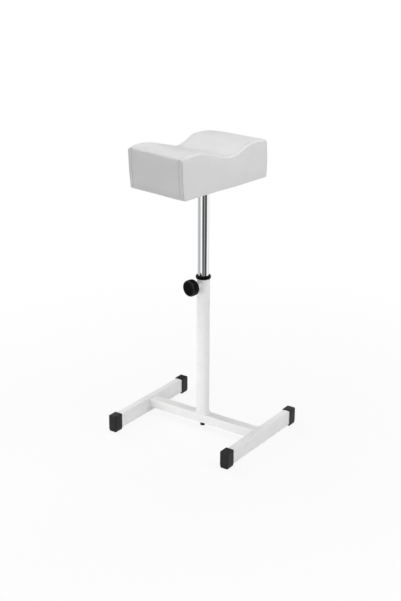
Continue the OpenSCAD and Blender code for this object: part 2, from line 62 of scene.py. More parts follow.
# %% Camera
FRAME_W, FRAME_H = 401, 601
FOCAL_PX = 1200.0
CENTRE_X = 203.24
VIEW_AZIMUTH = math.radians(34.72)
VIEW_ELEVATION = math.radians(20.43)
VIEW_ROLL = math.radians(0.27)
VIEW_DISTANCE = 3.1334
AIM_HEIGHT = 0.36548

back = Vector((
    math.sin(VIEW_AZIMUTH) * math.cos(VIEW_ELEVATION),
    -math.cos(VIEW_AZIMUTH) * math.cos(VIEW_ELEVATION),
    math.sin(VIEW_ELEVATION),
))
level = Vector((math.cos(VIEW_AZIMUTH), math.sin(VIEW_AZIMUTH), 0))
right = level * math.cos(VIEW_ROLL) + back.cross(level) * math.sin(VIEW_ROLL)
up = back.cross(right)

lens = bpy.data.cameras.new("camera")
lens.sensor_fit = "VERTICAL"
lens.sensor_height = 24
lens.lens = FOCAL_PX / FRAME_H * lens.sensor_height
lens.shift_x = (FRAME_W / 2 - CENTRE_X) / FRAME_H
lens.clip_end = 60
camera = bpy.data.objects.new("camera", lens)
bpy.context.scene.collection.objects.link(camera)
place = Matrix((right, up, back)).transposed().to_4x4()
place.translation = back * VIEW_DISTANCE + Vector((0, 0, AIM_HEIGHT))
camera.matrix_world = place
bpy.context.scene.camera = camera
print("camera: lens", round(lens.lens, 1), "mm, at", [round(c, 3) for c in place.translation])

# %% [markdown]
# ## Small tools
#
# Colours are picked as sRGB hex codes, as on a paint card, but a shader works with
# light, which adds up linearly. One function turns the first into the second, and
# another adds any shader node with its settings and links, so that each material below
# reads as a list of what it is made of.

# %% Colour and node helpers


def linear(code):
    """sRGB hex to linear RGBA: c / 12.92 up to 0.04045, and above it ((c + 0.055) / 1.055) to the 2.4."""
    channels = [int(code[i:i + 2], 16) / 255 for i in (0, 2, 4)]
    return tuple(c / 12.92 if c <= 0.04045 else ((c + 0.055) / 1.055) ** 2.4 for c in channels) + (1.0,)


def add(tree, kind, sockets=None, stops=None, **settings):
    """Adds a node. Each socket gets a plain value, or a link from an output or from a node's first
    output. stops are a colour ramp's (place, hex code) pairs."""
    node = tree.nodes.new(kind)
    for name, value in settings.items():
        setattr(node, name, value)
    for name, value in (sockets or {}).items():
        if isinstance(value, bpy.types.Node):
            value = value.outputs[0]
        if isinstance(value, bpy.types.NodeSocket):
            tree.links.new(value, node.inputs[name])
        else:
            node.inputs[name].default_value = value
    for i, (at, code) in enumerate(stops or []):
        element = node.color_ramp.elements[i] if i < 2 else node.color_ramp.elements.new(at)
        element.position, element.color = at, linear(code)
    return node


def new_material(name):
    """An empty material and its node tree."""
    material = bpy.data.materials.new(name)
    material.use_nodes = True
    material.node_tree.nodes.clear()
    return material, material.node_tree


print("white card in linear light:", [round(c, 3) for c in linear("f4f4f2")[:3]])

# %% [markdown]
# New pieces are surfaces worked out as arrays. Nearly all of them are rings of points,
# one after another, so one function is enough to skin them: it joins each ring to the
# next with quads and closes the ends with a fan to their middle, or joins the last ring
# to the first. It measures the volume that it encloses, and turns the faces round if
# that comes out negative, so that they always point outwards.

# %% Faces and volume


def skin_faces(rows, columns, ends):
    """Faces over rows x columns of points. ends is "fan" (two centre points follow the grid) or "loop"."""
    last = rows if ends == "loop" else rows - 1
    row, column = np.meshgrid(np.arange(last), np.arange(columns), indexing="ij")
    next_row, next_column = (row + 1) % rows, (column + 1) % columns
    quads = np.stack([
        row * columns + column, row * columns + next_column,
        next_row * columns + next_column, next_row * columns + column,
    ], axis=-1).reshape(-1, 4)
    faces = quads.tolist()
    if ends == "fan":
        around = np.arange(columns)
        beside = (around + 1) % columns
        first, final = rows * columns, rows * columns + 1
        tail = (rows - 1) * columns
        faces += np.stack([np.full(columns, first), beside, around], axis=-1).tolist()
        faces += np.stack([np.full(columns, final), tail + around, tail + beside], axis=-1).tolist()
    return faces


def enclosed(points, faces):
    """Signed volume: the sum over triangles of p0 . (p1 x p2) / 6."""
    triangles = np.array([(f[0], f[i], f[i + 1]) for f in faces for i in range(1, len(f) - 1)])
    a, b, c = (points[triangles[:, i]] for i in range(3))
    return float(np.einsum("ij,ij->", a, np.cross(b, c)) / 6)


print("a tube of 2 rings of 4 points with its ends closed has", len(skin_faces(2, 4, "fan")), "faces")

# %% Objects and pieces


def new_object(name, points, faces, material=None):
    """A mesh object at the origin, with its material if it has one."""
    mesh = bpy.data.meshes.new(name)
    mesh.from_pydata(np.asarray(points, float).tolist(), [], faces)
    mesh.update()
    if material:
        mesh.materials.append(material)
    thing = bpy.data.objects.new(name, mesh)
    bpy.context.scene.collection.objects.link(thing)
    return thing


def make_piece(name, points, faces, material, body, slot):
    """A smooth object with its faces outwards, riding on its body. slot is not used."""
    if enclosed(points, faces) < 0:
        faces = [f[::-1] for f in faces]
    piece = new_object(name, points, faces, material)
    piece.data.polygons.foreach_set("use_smooth", np.full(len(faces), True))
    piece.data.update()
    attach(piece, body)
    return piece


def read_vectors(items, attribute):
    """A vector attribute of a mesh's items as an array of n x 3."""
    flat = np.empty(len(items) * 3, np.float32)
    items.foreach_get(attribute, flat)
    return flat.reshape(-1, 3).astype(float)


def skin(rings, ends="fan"):
    """Points and faces of rings, an array of rows x columns x 3."""
    rows, columns = rings.shape[:2]
    points = rings.reshape(-1, 3)
    if ends == "fan":
        points = np.vstack([points, rings[0].mean(0), rings[-1].mean(0)])
    return points, skin_faces(rows, columns, ends)


def join_skins(skins):
    """Several (points, faces) as one."""
    all_points, all_faces, offset = [], [], 0
    for points, faces in skins:
        all_points.append(points)
        all_faces += [[i + offset for i in f] for f in faces]
        offset += len(points)
    return np.vstack(all_points), all_faces


square = (np.zeros((4, 3)), [(0, 1, 2, 3)])
print("two squares joined have the faces", join_skins([square, square])[1])

# %% Curves and turned shapes


def lengths_along(line):
    """How far each point of an open line is from its start, along the line."""
    return np.concatenate([[0], np.cumsum(np.linalg.norm(np.diff(line, axis=0), axis=1))])


def turned(profile, segments=128, flutes=0, depth=None):
    """Surface of revolution about Z: (r cos u, r sin u, z). depth, one value a profile point, sinks
    `flutes` scallops into it: r - depth * (0.5 + 0.5 cos(flutes * u)) ** 2."""
    profile = np.asarray(profile, float)
    u = np.linspace(0, 2 * math.pi, segments, endpoint=False)
    r = np.repeat(profile[:, :1], segments, axis=1)
    if flutes:
        r = r - np.asarray(depth, float)[:, None] * (0.5 + 0.5 * np.cos(flutes * u)) ** 2
    return np.stack([r * np.cos(u), r * np.sin(u), np.repeat(profile[:, 1:], segments, axis=1)], axis=-1)


def rounded(corners, radii, steps=6):
    """A closed outline whose corners are eased: each becomes the curve (1-t)^2 A + 2t(1-t) C + t^2 B
    between the points A and B, one radius away from the corner C along its two edges."""
    corners = np.asarray(corners, float)
    radii = np.asarray(radii, float)[:, None]
    before = np.roll(corners, 1, axis=0) - corners
    after = np.roll(corners, -1, axis=0) - corners
    a = corners + radii * before / np.linalg.norm(before, axis=1, keepdims=True)
    b = corners + radii * after / np.linalg.norm(after, axis=1, keepdims=True)
    t = np.linspace(0, 1, steps)[None, :, None]
    curve = (1 - t) ** 2 * a[:, None] + 2 * t * (1 - t) * corners[:, None] + t ** 2 * b[:, None]
    return curve.reshape(-1, 2)


def sweep(path, outward, along, radius, sides=10):
    """A closed tube round a closed path: centre + radius * (cos v * outward + sin v * (along x outward))."""
    v = np.linspace(0, 2 * math.pi, sides, endpoint=False)[None, :, None]
    second = np.cross(along, outward)
    return path[:, None] + radius[:, None, None] * (
        np.cos(v) * outward[:, None] + np.sin(v) * second[:, None]
    )


meridian = [(5 * math.sin(a), -5 * math.cos(a)) for a in np.linspace(0.02, math.pi - 0.02, 40)]
print("a 10 mm ball encloses", round(abs(enclosed(*skin(turned(meridian)))), 1), "mm3 of 523.6")

# %% [markdown]
# ## Finishes
#
# A plain finish needs little: two tones, a relief, and a gloss that isn't the same all
# over. Two noises are enough, a fine one for the relief and a wide one for the tones, so
# the plain finishes share one recipe with other numbers.
#
# **Powder coat.** The base and the post are dusted with white polyester powder and baked.
# The film flows a little before it sets, which leaves a faint orange peel about 2 mm
# across under an even satin gloss. A noise of that size, kept very shallow, gives the
# peel, and the wide one lets the gloss wander as it does on a real batch.

# %% The plain recipe, and powder coat


def make_finish(name, tones, relief, patches=None, rough=None, bump=(0, 0), stops=(0.3, 0.7),
                stretch=(1, 1, 1), constants=None):
    """relief and patches are the sockets of two noises. The first is stretched and gives the height,
    which bump sets as (distance, strength). The second, or the first where there is no second, gives
    the two tones, which lie at stops. rough is the noise that the roughness follows, and its ends."""
    material, tree = new_material(name)
    where = add(tree, "ShaderNodeTexCoord").outputs["Object"]
    drawn = add(tree, "ShaderNodeMapping", {"Vector": where, "Scale": stretch})
    noises = {"relief": add(tree, "ShaderNodeTexNoise", {"Vector": drawn, **relief})}
    noises["patches"] = noises["relief"]
    if patches:
        noises["patches"] = add(tree, "ShaderNodeTexNoise", {"Vector": where, **patches})
    sockets = {
        "Base Color": add(tree, "ShaderNodeValToRGB", {"Fac": noises["patches"]}, zip(stops, tones)),
        "Normal": add(tree, "ShaderNodeBump", {
            "Height": noises["relief"], "Distance": bump[0], "Strength": bump[1]}),
        **(constants or {}),
    }
    if rough:
        sockets["Roughness"] = add(tree, "ShaderNodeMapRange", {
            "Value": noises[rough[0]], "To Min": rough[1], "To Max": rough[2]})
    shader = add(tree, "ShaderNodeBsdfPrincipled", sockets)
    add(tree, "ShaderNodeOutputMaterial", {"Surface": shader})
    return material


# White polyester powder on welded steel: satin, with a 2 mm orange peel
powder_coat = make_finish(
    "polyester_powder_coat_baked_white", ("efefef", "f5f5f4"), stops=(0.25, 0.75),
    relief={"Scale": 1 / (2 * MM), "Detail": 1.5}, patches={"Scale": 1 / (45 * MM), "Detail": 3},
    rough=("patches", 0.28, 0.40), bump=(0.06 * MM, 0.6), constants={"IOR": 1.5})
print("finish:", powder_coat.name)

# %% [markdown]
# **Metals.** The sliding tube is ground, nickelled and chromed. Chrome itself hardly
# shows: the eye sees the room in it. What gives it away as metal that is handled are
# faint lengthwise wipe marks from the collar, so the roughness follows a noise that is
# stretched along the tube. Zinc plate is bluish and a little patchy, and black oxide is
# a dark film that still glints.

# %% Metals
# Name, two tones, ends of the roughness, size of the marks in millimetres, their stretch and depth
METALS = [
    # Bright chrome over nickel, with wipe marks 0.8 mm apart: a clear, slightly cool mirror
    ("chrome_plate_on_drawn_tube", ("e3e5e7", "e7e8e9"), (0.03, 0.08), 0.8, (1, 1, 0.02), 0.001),
    # Zinc plate with a clear passivate: a grey that blurs what it mirrors
    ("zinc_plate_passivated", ("b4b8bd", "c6c8c6"), (0.26, 0.42), 1.5, (1, 1, 1), 0.02),
    # Black oxide on steel: nearly black, oiled
    ("steel_black_oxide", ("232325", "2b2a2a"), (0.34, 0.5), 1.2, (1, 1, 1), 0.02),
]
chrome, zinc, black_oxide = (
    make_finish(name, tones, relief={"Scale": 1 / (mark * MM), "Detail": 4}, patches={"Scale": 1 / (9 * MM)},
                rough=("relief", *rough), bump=(depth * MM, 0.5), stretch=stretch,
                constants={"Metallic": 1.0})
    for name, tones, rough, mark, stretch, depth in METALS)
print("finishes:", chrome.name, zinc.name, black_oxide.name)

# %% [markdown]
# **Moulded plastics.** The end caps are soft black polyethylene from a spark-eroded
# mould, so they have a fine matt grain. The knob and the collar are harder and come from
# a smoother mould: darker to the eye, because less light scatters from them, and with a
# clear highlight on every rounded edge.

# %% Plastics
# Name, two tones, roughness, gloss, size of the grain and its depth in millimetres. The caps'
# grain is drawn at 0.6 mm, twice the real one, because that would be too fine to show
PLASTICS = [
    ("polyethylene_moulded_black_grained", ("1b1b1c", "2a2a2b"), 0.46, 0.2, 0.6, 0.05),
    ("phenolic_moulded_black", ("060606", "0e0e0e"), 0.30, 0.05, 0.9, 0.015),
    # The rim: glossier, so that it catches the lamps, and a little lighter in tone, a painted highlight
    ("phenolic_rim_glossy_black_painted_highlight", ("080808", "161616"), 0.26, 0.32, 0.9, 0.01),
    ("nylon_moulded_black", ("060606", "0c0c0c"), 0.34, 0.06, 0.9, 0.015),
    ("nylon_turned_natural", ("e6e4da", "dcd9cc"), 0.42, 0.5, 0.8, 0.02),
]
cap_plastic, knob_plastic, knob_rim_painted_highlight, collar_plastic, white_nylon = (
    make_finish(name, tones, relief={"Scale": 1 / (grain * MM), "Roughness": 0.6},
                patches={"Scale": 1 / (14 * MM), "Detail": 5}, stops=(0.45, 0.85),
                rough=("patches", roughness - 0.06, roughness + 0.08), bump=(depth * MM, 0.7),
                constants={"IOR": 1.5, "Specular IOR Level": gloss})
    for name, tones, roughness, gloss, grain, depth in PLASTICS)
print("finishes:", ", ".join(row[0] for row in PLASTICS))

# %% [markdown]
# **Upholstery.** The cover is knitted cloth with a polyurethane face, embossed with a
# fine leather grain: cells about a millimetre across with shallow creases between them.
# The distance to the edges of Voronoi cells gives the creases, and a noise the pores.
# White leather cloth isn't paper-white, and it takes a soft, wide sheen, so its roughness
# is middling and it is a little darker where it has been touched. Shade is painted into its
# colour in the seam and stitch grooves and above the lower edge, where shade falls, and a
# painted highlight makes the band over the folded seam a little paler. The cushion carries
# both as attributes.

# %% Leather cloth


def make_leather_cloth():
    """White polyurethane-coated cloth: 1.1 mm embossed cells and a soft sheen."""
    material, tree = new_material("polyurethane_coated_cloth_embossed_white")
    where = add(tree, "ShaderNodeTexCoord").outputs["Object"]
    cells = add(tree, "ShaderNodeTexVoronoi", {"Vector": where, "Scale": 1 / (1.1 * MM)},
                feature="DISTANCE_TO_EDGE")
    creases = add(tree, "ShaderNodeMapRange", {"Value": cells, "From Max": 0.16})
    pores = add(tree, "ShaderNodeTexNoise", {"Vector": where, "Scale": 1 / (0.5 * MM)})
    touched = add(tree, "ShaderNodeTexNoise", {"Vector": where, "Scale": 1 / (70 * MM), "Detail": 4})
    colour = add(tree, "ShaderNodeValToRGB", {"Fac": touched}, [(0.3, "dedede"), (0.7, "e4e3e3")])
    # Two painted marks on the colour: painted shade, darker where shade falls in the grooves and above the
    # lower edge, and a painted highlight, paler over the band along the top seams
    for mark, strength, tint in (("painted_shade", 0.2, "8f8f8e"), ("painted_band_highlight", 0.45, "f2f2f1")):
        marked = add(tree, "ShaderNodeAttribute", attribute_name=mark).outputs["Fac"]
        amount = add(tree, "ShaderNodeMath", {0: marked, 1: strength}, operation="MULTIPLY")
        colour = add(tree, "ShaderNodeMix", {"Factor": amount, "A": colour, "B": linear(tint)},
                     data_type="RGBA").outputs["Result"]
    fine = add(tree, "ShaderNodeBump", {"Height": pores, "Distance": 0.03 * MM, "Strength": 0.4})
    shader = add(tree, "ShaderNodeBsdfPrincipled", {
        "IOR": 1.46,
        "Base Color": colour,
        "Roughness": add(tree, "ShaderNodeMapRange", {"Value": touched, "To Min": 0.38, "To Max": 0.52}),
        "Normal": add(tree, "ShaderNodeBump", {
            "Height": creases, "Distance": 0.05 * MM, "Strength": 0.5, "Normal": fine}),
    })
    add(tree, "ShaderNodeOutputMaterial", {"Surface": shader})
    return material


leather_cloth = make_leather_cloth()
print("finish:", leather_cloth.name)

# %% [markdown]
# Under the cushion a black spun-bonded cloth keeps the dust out. It is a felt of
# polypropylene fibres, melted together at small points in rows. Wood, foam and thread
# each need only two tones and a relief on one stretched noise.

# %% Dust cover, wood, foam and thread


def make_spunbond():
    """Black spun-bonded cloth: random fibres, bonded at points 1.6 mm apart."""
    material, tree = new_material("polypropylene_spunbond_black")
    where = add(tree, "ShaderNodeTexCoord").outputs["Object"]
    fibres = add(tree, "ShaderNodeTexNoise", {
        "Vector": where, "Scale": 1 / (0.7 * MM), "Detail": 5, "Roughness": 0.75})
    bonds = add(tree, "ShaderNodeTexVoronoi", {"Vector": where, "Scale": 1 / (1.6 * MM), "Randomness": 0.15})
    fuzz = add(tree, "ShaderNodeBump", {"Height": fibres, "Distance": 0.12 * MM, "Strength": 0.6})
    shader = add(tree, "ShaderNodeBsdfPrincipled", {
        "Roughness": 0.85, "Sheen Weight": 0.25, "Sheen Roughness": 0.5,
        "Base Color": add(tree, "ShaderNodeValToRGB", {"Fac": fibres}, [(0.35, "121213"), (0.7, "242426")]),
        "Normal": add(tree, "ShaderNodeBump", {
            "Height": bonds, "Distance": 0.1 * MM, "Strength": 0.6, "Normal": fuzz}),
    })
    add(tree, "ShaderNodeOutputMaterial", {"Surface": shader})
    return material


spunbond = make_spunbond()
# Name, two tones, roughness, size of the figure in millimetres, its stretch and depth
FIBROUS = [
    ("birch_plywood_sanded", ("d9bd90", "c3a070"), 0.6, 4, (1, 0.06, 1), 0.05),
    ("polyurethane_foam_cut", ("ded29c", "cfc189"), 0.9, 0.9, (1, 1, 1), 0.2),
    # The thread's tones are darkened, as painted shade for the shadow in its stitch holes
    ("polyester_thread_grey_darkened_as_painted_shade", ("c4c4c3", "a9a9a8"), 0.6, 0.25, (1, 1, 1), 0.05),
]
plywood, foam, thread = (
    make_finish(name, tones, relief={"Scale": 1 / (figure * MM), "Detail": 5, "Roughness": 0.6},
                bump=(depth * MM, 0.6), stretch=stretch, constants={"Roughness": roughness})
    for name, tones, roughness, figure, stretch, depth in FIBROUS)
print("finishes:", spunbond.name, plywood.name, foam.name, thread.name)

# %% [markdown]
# The CAD nodes whose shapes are right keep their meshes and only change their finish. The
# nodes that new pieces stand for later get theirs too, so no node is left plain.

# %% Finish the CAD nodes
FINISHES = {
    powder_coat: ["left_runner", "right_runner", "crossbar", "post_tube", "post_foot_plug", "clamp_boss",
                  "crossbar_welds", "post_foot_weld", "clamp_boss_weld"],
    chrome: ["slide_tube"],
    zinc: ["clamp_screw", "seat_plate", "plate_bolts", "plate_washers", "tee_nuts", "seat_staples",
           "post_washer", "post_spring_washer", "seat_plate_weld"],
    black_oxide: ["post_bolt"],
    collar_plastic: ["slide_guide", "post_collar"],
    cap_plastic: ["front_left_cap", "front_right_cap", "rear_left_cap", "rear_right_cap"],
    knob_plastic: ["clamp_knob"],
    white_nylon: ["clamp_pad"],
    plywood: ["seat_board"],
    spunbond: ["seat_dust_cover"],
    foam: ["seat_foam"],
    leather_cloth: ["seat_cover"],
}
for finish, names in FINISHES.items():
    for node_name in names:
        nodes[node_name].data.materials.clear()
        nodes[node_name].data.materials.append(finish)
print("finished", sum(len(names) for names in FINISHES.values()), "CAD nodes")

# %% [markdown]
# ## The saddle cushion
#
# The real cushion is a block of foam cut to a saddle, glued on a plywood board and
# pulled tight into a sewn cover. The cover has three cuts: one long strip that runs down
# the front, over the top and down the back, and two side panels with the wavy edge.
# Along each seam the allowances lie double under the strip and are top-stitched, which
# raises a flat band, almost 9 mm wide, between the seam and a row of stitches.
#
# A cushion could be sculpted, or blown up from a box by a cloth simulation. Here it is
# both. A coarse skin of the block goes through the cloth solver, which finds how a tight
# cover crowns between its seams. A fine skin, whose rows and columns follow the seams,
# then takes over that movement, because a remeshed pad has no seams to follow.
#
# The block is a stack of rings round the X axis. Each ring is the side view of the
# cushion, drawn in by a little more towards the panels.

# %% The crown of the saddle
SEAT_W, SEAT_L = 182 * MM, 320 * MM
FRONT_H, LOW_HUMP_H, HOLLOW_H, HIGH_HUMP_H, REAR_H = (h * MM for h in (98, 104, 76, 97.5, 94.5))
LOW_HUMP_AT, HOLLOW_AT, HIGH_HUMP_AT = (share * SEAT_L / 2 for share in (-0.7, 0.125, 0.655))
FRONT_SKEW, REAR_SKEW = 13 * MM, 24 * MM
NEAR_RISE, FAR_FRONT_RISE, FAR_REAR_RISE = 0.2 * MM, 3.2 * MM, 3.0 * MM
END_RISE, CORNER_DROOP = 1.0 * MM, 4.5 * MM
# Where along the cushion the skew, the rise and the rear end set in, and over what length
SKEW_RAMP, RISE_RAMP, END_RAMP = (20 * MM, 80 * MM), (-60 * MM, 150 * MM), (115 * MM, 45 * MM)


def saddle(y):
    """Height of the crown line: cosine eases between humps and hollow, a cubic fall to the front end and
    a parabola to the rear one."""
    half = SEAT_L / 2

    def ease(a, b):
        return (1 - np.cos(np.pi * (y - a) / (b - a))) / 2

    return np.select(
        [y < LOW_HUMP_AT, y < HOLLOW_AT, y < HIGH_HUMP_AT],
        [LOW_HUMP_H + (FRONT_H - LOW_HUMP_H) * np.abs((LOW_HUMP_AT - y) / (LOW_HUMP_AT + half)) ** 3,
         LOW_HUMP_H + (HOLLOW_H - LOW_HUMP_H) * ease(LOW_HUMP_AT, HOLLOW_AT),
         HOLLOW_H + (HIGH_HUMP_H - HOLLOW_H) * ease(HOLLOW_AT, HIGH_HUMP_AT)],
        HIGH_HUMP_H + (REAR_H - HIGH_HUMP_H) * ((y - HIGH_HUMP_AT) / (half - HIGH_HUMP_AT)) ** 2,
    )


def smooth(t):
    """A smooth step: 3 t^2 - 2 t^3 between 0 and 1."""
    t = np.clip(t, 0, 1)
    return t * t * (3 - 2 * t)


def ramp(y, start, length):
    """A smooth step that sets in at a place and takes a length."""
    return smooth((y - start) / length)


def crown(x, y):
    """Height of the top. Foam is sawn by hand, a little askew: far = 1/2 - x / width, and the height is
    saddle(y + far * skew) + near rise + far * far rise, with smooth steps of y between front and rear,
    and a step at the rear end that droops at the far corner."""
    far = 0.5 - x / SEAT_W
    skew = FRONT_SKEW + (REAR_SKEW - FRONT_SKEW) * ramp(y, *SKEW_RAMP)
    rise = FAR_FRONT_RISE + (FAR_REAR_RISE - FAR_FRONT_RISE) * ramp(y, *RISE_RAMP)
    end = ramp(y, *END_RAMP)
    return saddle(y + far * skew) + NEAR_RISE + END_RISE * end + far * (rise - CORNER_DROOP * end)


front_end, rear_end = (round(float(saddle(np.array(y))) / MM) for y in (-SEAT_L / 2, SEAT_L / 2))
print("crown line from", front_end, "to", rear_end, "mm, lowest", HOLLOW_H / MM)

# %% The saddle's side view
TOP_ROUND, BOTTOM_ROUND, END_BULGE = 6 * MM, 7.5 * MM, 1.2 * MM
FRONT_LEAN, FAR_LEAN, REAR_LEAN = 4.5 * MM, 3.0 * MM, 1.2 * MM
HEM_L, HEM_STEP = 247.4 * MM, 0.5 * MM
ARC_POINTS = 6


def side_view(x, end_pull, top_pull, lift, spacing):
    """Closed outline in Y and Z, anticlockwise from the middle of the underside, for each row at x:
    end_pull and top_pull draw the ends and the top in, lift raises the underside. The ends lean and
    bulge: end + lean t + bulge sin(pi t). Corners are arcs: centre + r (cos a, sin a)."""
    x, end_pull, top_pull, lift = (np.asarray(p, float)[:, None] for p in (x, end_pull, top_pull, lift))
    end = SEAT_L / 2 - end_pull - END_BULGE
    rt, rb = TOP_ROUND, BOTTOM_ROUND
    front_lean = FRONT_LEAN + FAR_LEAN * (0.5 - x / SEAT_W)
    rear_y, front_y, yb = end - REAR_LEAN - rt, end + front_lean - rt, end - rb
    rear, front = crown(x, rear_y) - top_pull - rt, crown(x, -front_y) - top_pull - rt
    reach = SEAT_L / 2 - END_BULGE
    hem = HEM_L / 2 / (reach - rb)
    step = HEM_STEP / (reach - rb)
    inner = np.linspace(-(hem - step), hem - step, int(HEM_L / spacing / 2))
    outer = np.linspace(hem + step, 1, int((reach - HEM_L / 2) / spacing) + 1)[:-1]
    run = np.concatenate([[-1], -outer[::-1], inner, outer])
    arc = np.linspace(0, np.pi / 2, ARC_POINTS)[:-1]
    tall = np.linspace(0, 1, int((HOLLOW_H - rt) / spacing) + 1)
    down = tall[::-1]
    long = np.linspace(1, -1, int(2 * (reach - rt) / spacing) + 1)
    crown_y = (rear_y - front_y) / 2 + (rear_y + front_y) / 2 * long
    flat = lift + rb
    parts = [
        (run * yb, np.repeat(lift, len(run), axis=1)),
        (yb + rb * np.sin(arc), flat - rb * np.cos(arc)),
        (end - REAR_LEAN * tall + END_BULGE * np.sin(np.pi * tall), flat + (rear - flat) * tall),
        (rear_y + rt * np.cos(arc[1:]), rear + rt * np.sin(arc[1:])),
        (crown_y, crown(x, crown_y) - top_pull),
        (-front_y - rt * np.sin(arc[1:]), front + rt * np.cos(arc[1:])),
        (-end - front_lean * down - END_BULGE * np.sin(np.pi * down), flat + (front - flat) * down),
        (-yb - rb * np.cos(arc[1:]), flat - rb * np.sin(arc[1:])),
    ]
    y, z = (np.concatenate([np.broadcast_to(part, (len(end), part.shape[-1])) for part in axis], axis=1)
            for axis in zip(*parts))
    return y, z, len(run)


print("the closed outline has", side_view([0.0], [0.0], [0.0], [0.0], 3 * MM)[0].size, "points 3 mm apart")

# %% [markdown]
# Across the cushion the rows are laid where they are needed: a millimetre apart over the
# band and its grooves, wide in the middle. Each row also remembers how far it lies from
# the edge, because the seams are drawn from that distance later.

# %% The rows across the cushion
CROWN, BAND_FALL, BAND_SLOPE = 0.6 * MM, 2.6 * MM, 10.5 * MM
PANEL_DRAW, END_DRAW, PANEL_TAPER = 0.2 * MM, 0.2 * MM, 40 * MM
EDGE_ROUND, HEM_W = 2.6 * MM, 113 * MM
EDGE_X = SEAT_W / 2 - PANEL_DRAW
FLAT = EDGE_X - EDGE_ROUND
HEM_AT = FLAT - HEM_W / 2
STRIP_ROWS = np.concatenate([
    np.arange(0, 19, 0.9) * MM, np.array([20, 22.5, 25.5, 29]) * MM,
    [HEM_AT - HEM_STEP, HEM_AT + HEM_STEP], np.linspace(HEM_AT + 6 * MM, FLAT, 8),
])
PANEL_INSETS = np.array([0.8, 1.7, 2.6, 3.6, 4.8]) * MM
PANEL_SHARES = [0.9, 0.78, 0.64, 0.5, 0.36, 0.22, 0.1]


def half_section(strip, panel_insets, panel_shares):
    """Rows from the middle of the strip to the middle of a panel, as x, end pull, top pull, lift, share and
    distance from the edge (positive on the strip). Across the strip the top's pull is
    crown (x / edge) ** 4 + band (1 - d / slope) ** 2. The edge is a quarter circle."""
    rows = []
    for back in np.asarray(strip)[::-1]:
        xi = FLAT - back
        bow = (xi / EDGE_X) ** 4
        fall = BAND_FALL * max(0, 1 - back / BAND_SLOPE) ** 2
        rows.append((xi, END_DRAW * bow, CROWN * bow + fall, 0.0, 1.0, EDGE_ROUND * math.pi / 4 + back))
    drawn = CROWN + BAND_FALL
    for a in np.linspace(np.pi / 2, 0, ARC_POINTS)[1:]:
        sink = EDGE_ROUND * (1 - math.sin(a))
        rows.append((FLAT + EDGE_ROUND * math.cos(a), END_DRAW + sink, drawn + sink, sink, 1.0,
                     EDGE_ROUND * (a - math.pi / 4)))
    deepest = panel_insets[-1]
    for p, share in [(p, 1.0) for p in panel_insets] + [(deepest, share) for share in panel_shares]:
        q = (1 - p / PANEL_TAPER) * share
        sink = EDGE_ROUND + p
        rows.append((SEAT_W / 2 - PANEL_DRAW * q ** 4, END_DRAW + sink, drawn + sink, sink, share,
                     -EDGE_ROUND * math.pi / 4 - p - (1 - share) * PANEL_TAPER))
    return np.array(rows)


print("rows from the middle to a panel:", len(half_section(STRIP_ROWS, PANEL_INSETS, PANEL_SHARES)))

# %% All rings of the block
COLUMN_SPACING = 2.9 * MM
SHRINK = 0.2 * MM


def block(strip, panel_insets, panel_shares, spacing, shrink=0.0):
    """All rings of the cushion from the middle of the left panel to that of the right one.
    A panel's inner rings are its outermost one scaled towards the panel's middle."""
    half = half_section(strip, panel_insets, panel_shares)
    left = half[:0:-1] * np.array([-1, 1, 1, 1, 1, 1])
    x, end_pull, top_pull, lift, share, distance = np.vstack([left, half]).T
    y, z, run = side_view(x, end_pull + shrink, top_pull + shrink, lift, spacing)
    middle = HOLLOW_H / 2
    y, z = y * share[:, None], middle + (z - middle) * share[:, None]
    x = x - np.sign(x) * shrink
    rings = np.stack([np.repeat(x[:, None], y.shape[1], axis=1), y, z], axis=-1)
    return rings, distance, run


cover_rings, edge_distance, underside = block(
    STRIP_ROWS, PANEL_INSETS, PANEL_SHARES, COLUMN_SPACING, shrink=SHRINK)
print("cover grid:", cover_rings.shape[:2], "rows and columns,", underside, "columns on the underside")

# %% [markdown]
# The cloth solver needs even quads and no sharp folds, so the pad that it gets is a
# voxel remesh of the same block. Pressure pushes it outwards. The underside is held,
# because it is stapled to the board, and the seams are half held, because three layers
# of cover don't stretch as one does. How far a point may move is capped, as the foam's
# own cover is cut to size. A Surface Deform modifier, bound before the pad moves, carries
# the movement over to the fine skin.

# %% Simulate the pad
VOXEL = 5 * MM
CAP = 3.0 * MM
HELD_BELOW = 2 * MM
SIM_FRAMES = 20
CLOTH_SETTINGS = {
    "quality": 5, "mass": 0.3, "tension_stiffness": 30, "compression_stiffness": 30, "shear_stiffness": 10,
    "bending_stiffness": 2, "use_pressure": True, "uniform_pressure_force": 4.0, "vertex_group_mass": "held",
}
SEAM_HOLD, SEAM_HOLD_WIDTH, UNDER_HOLD_WIDTH = 0.55, 9 * MM, 7 * MM


def evaluated_mesh(thing):
    """A new mesh of the thing with its modifiers applied."""
    bpy.context.view_layer.update()
    graph = bpy.context.evaluated_depsgraph_get()
    return bpy.data.meshes.new_from_object(thing.evaluated_get(graph))


def hold_weights(points):
    """How firmly each point is held: fully on the underside, about half along the seams, less beside them."""
    x, y, z = points.T
    to_side = np.abs(EDGE_X - np.abs(x))
    to_top = np.minimum(np.abs(crown(x, y) - z), np.abs(SEAT_L / 2 - np.abs(y)))
    seam = SEAM_HOLD * np.exp(-((np.hypot(to_side, to_top) / SEAM_HOLD_WIDTH) ** 2))
    under = np.exp(-((np.clip(z, 0, None) / UNDER_HOLD_WIDTH) ** 2))
    return np.clip(np.maximum(seam, under), 0, 1)


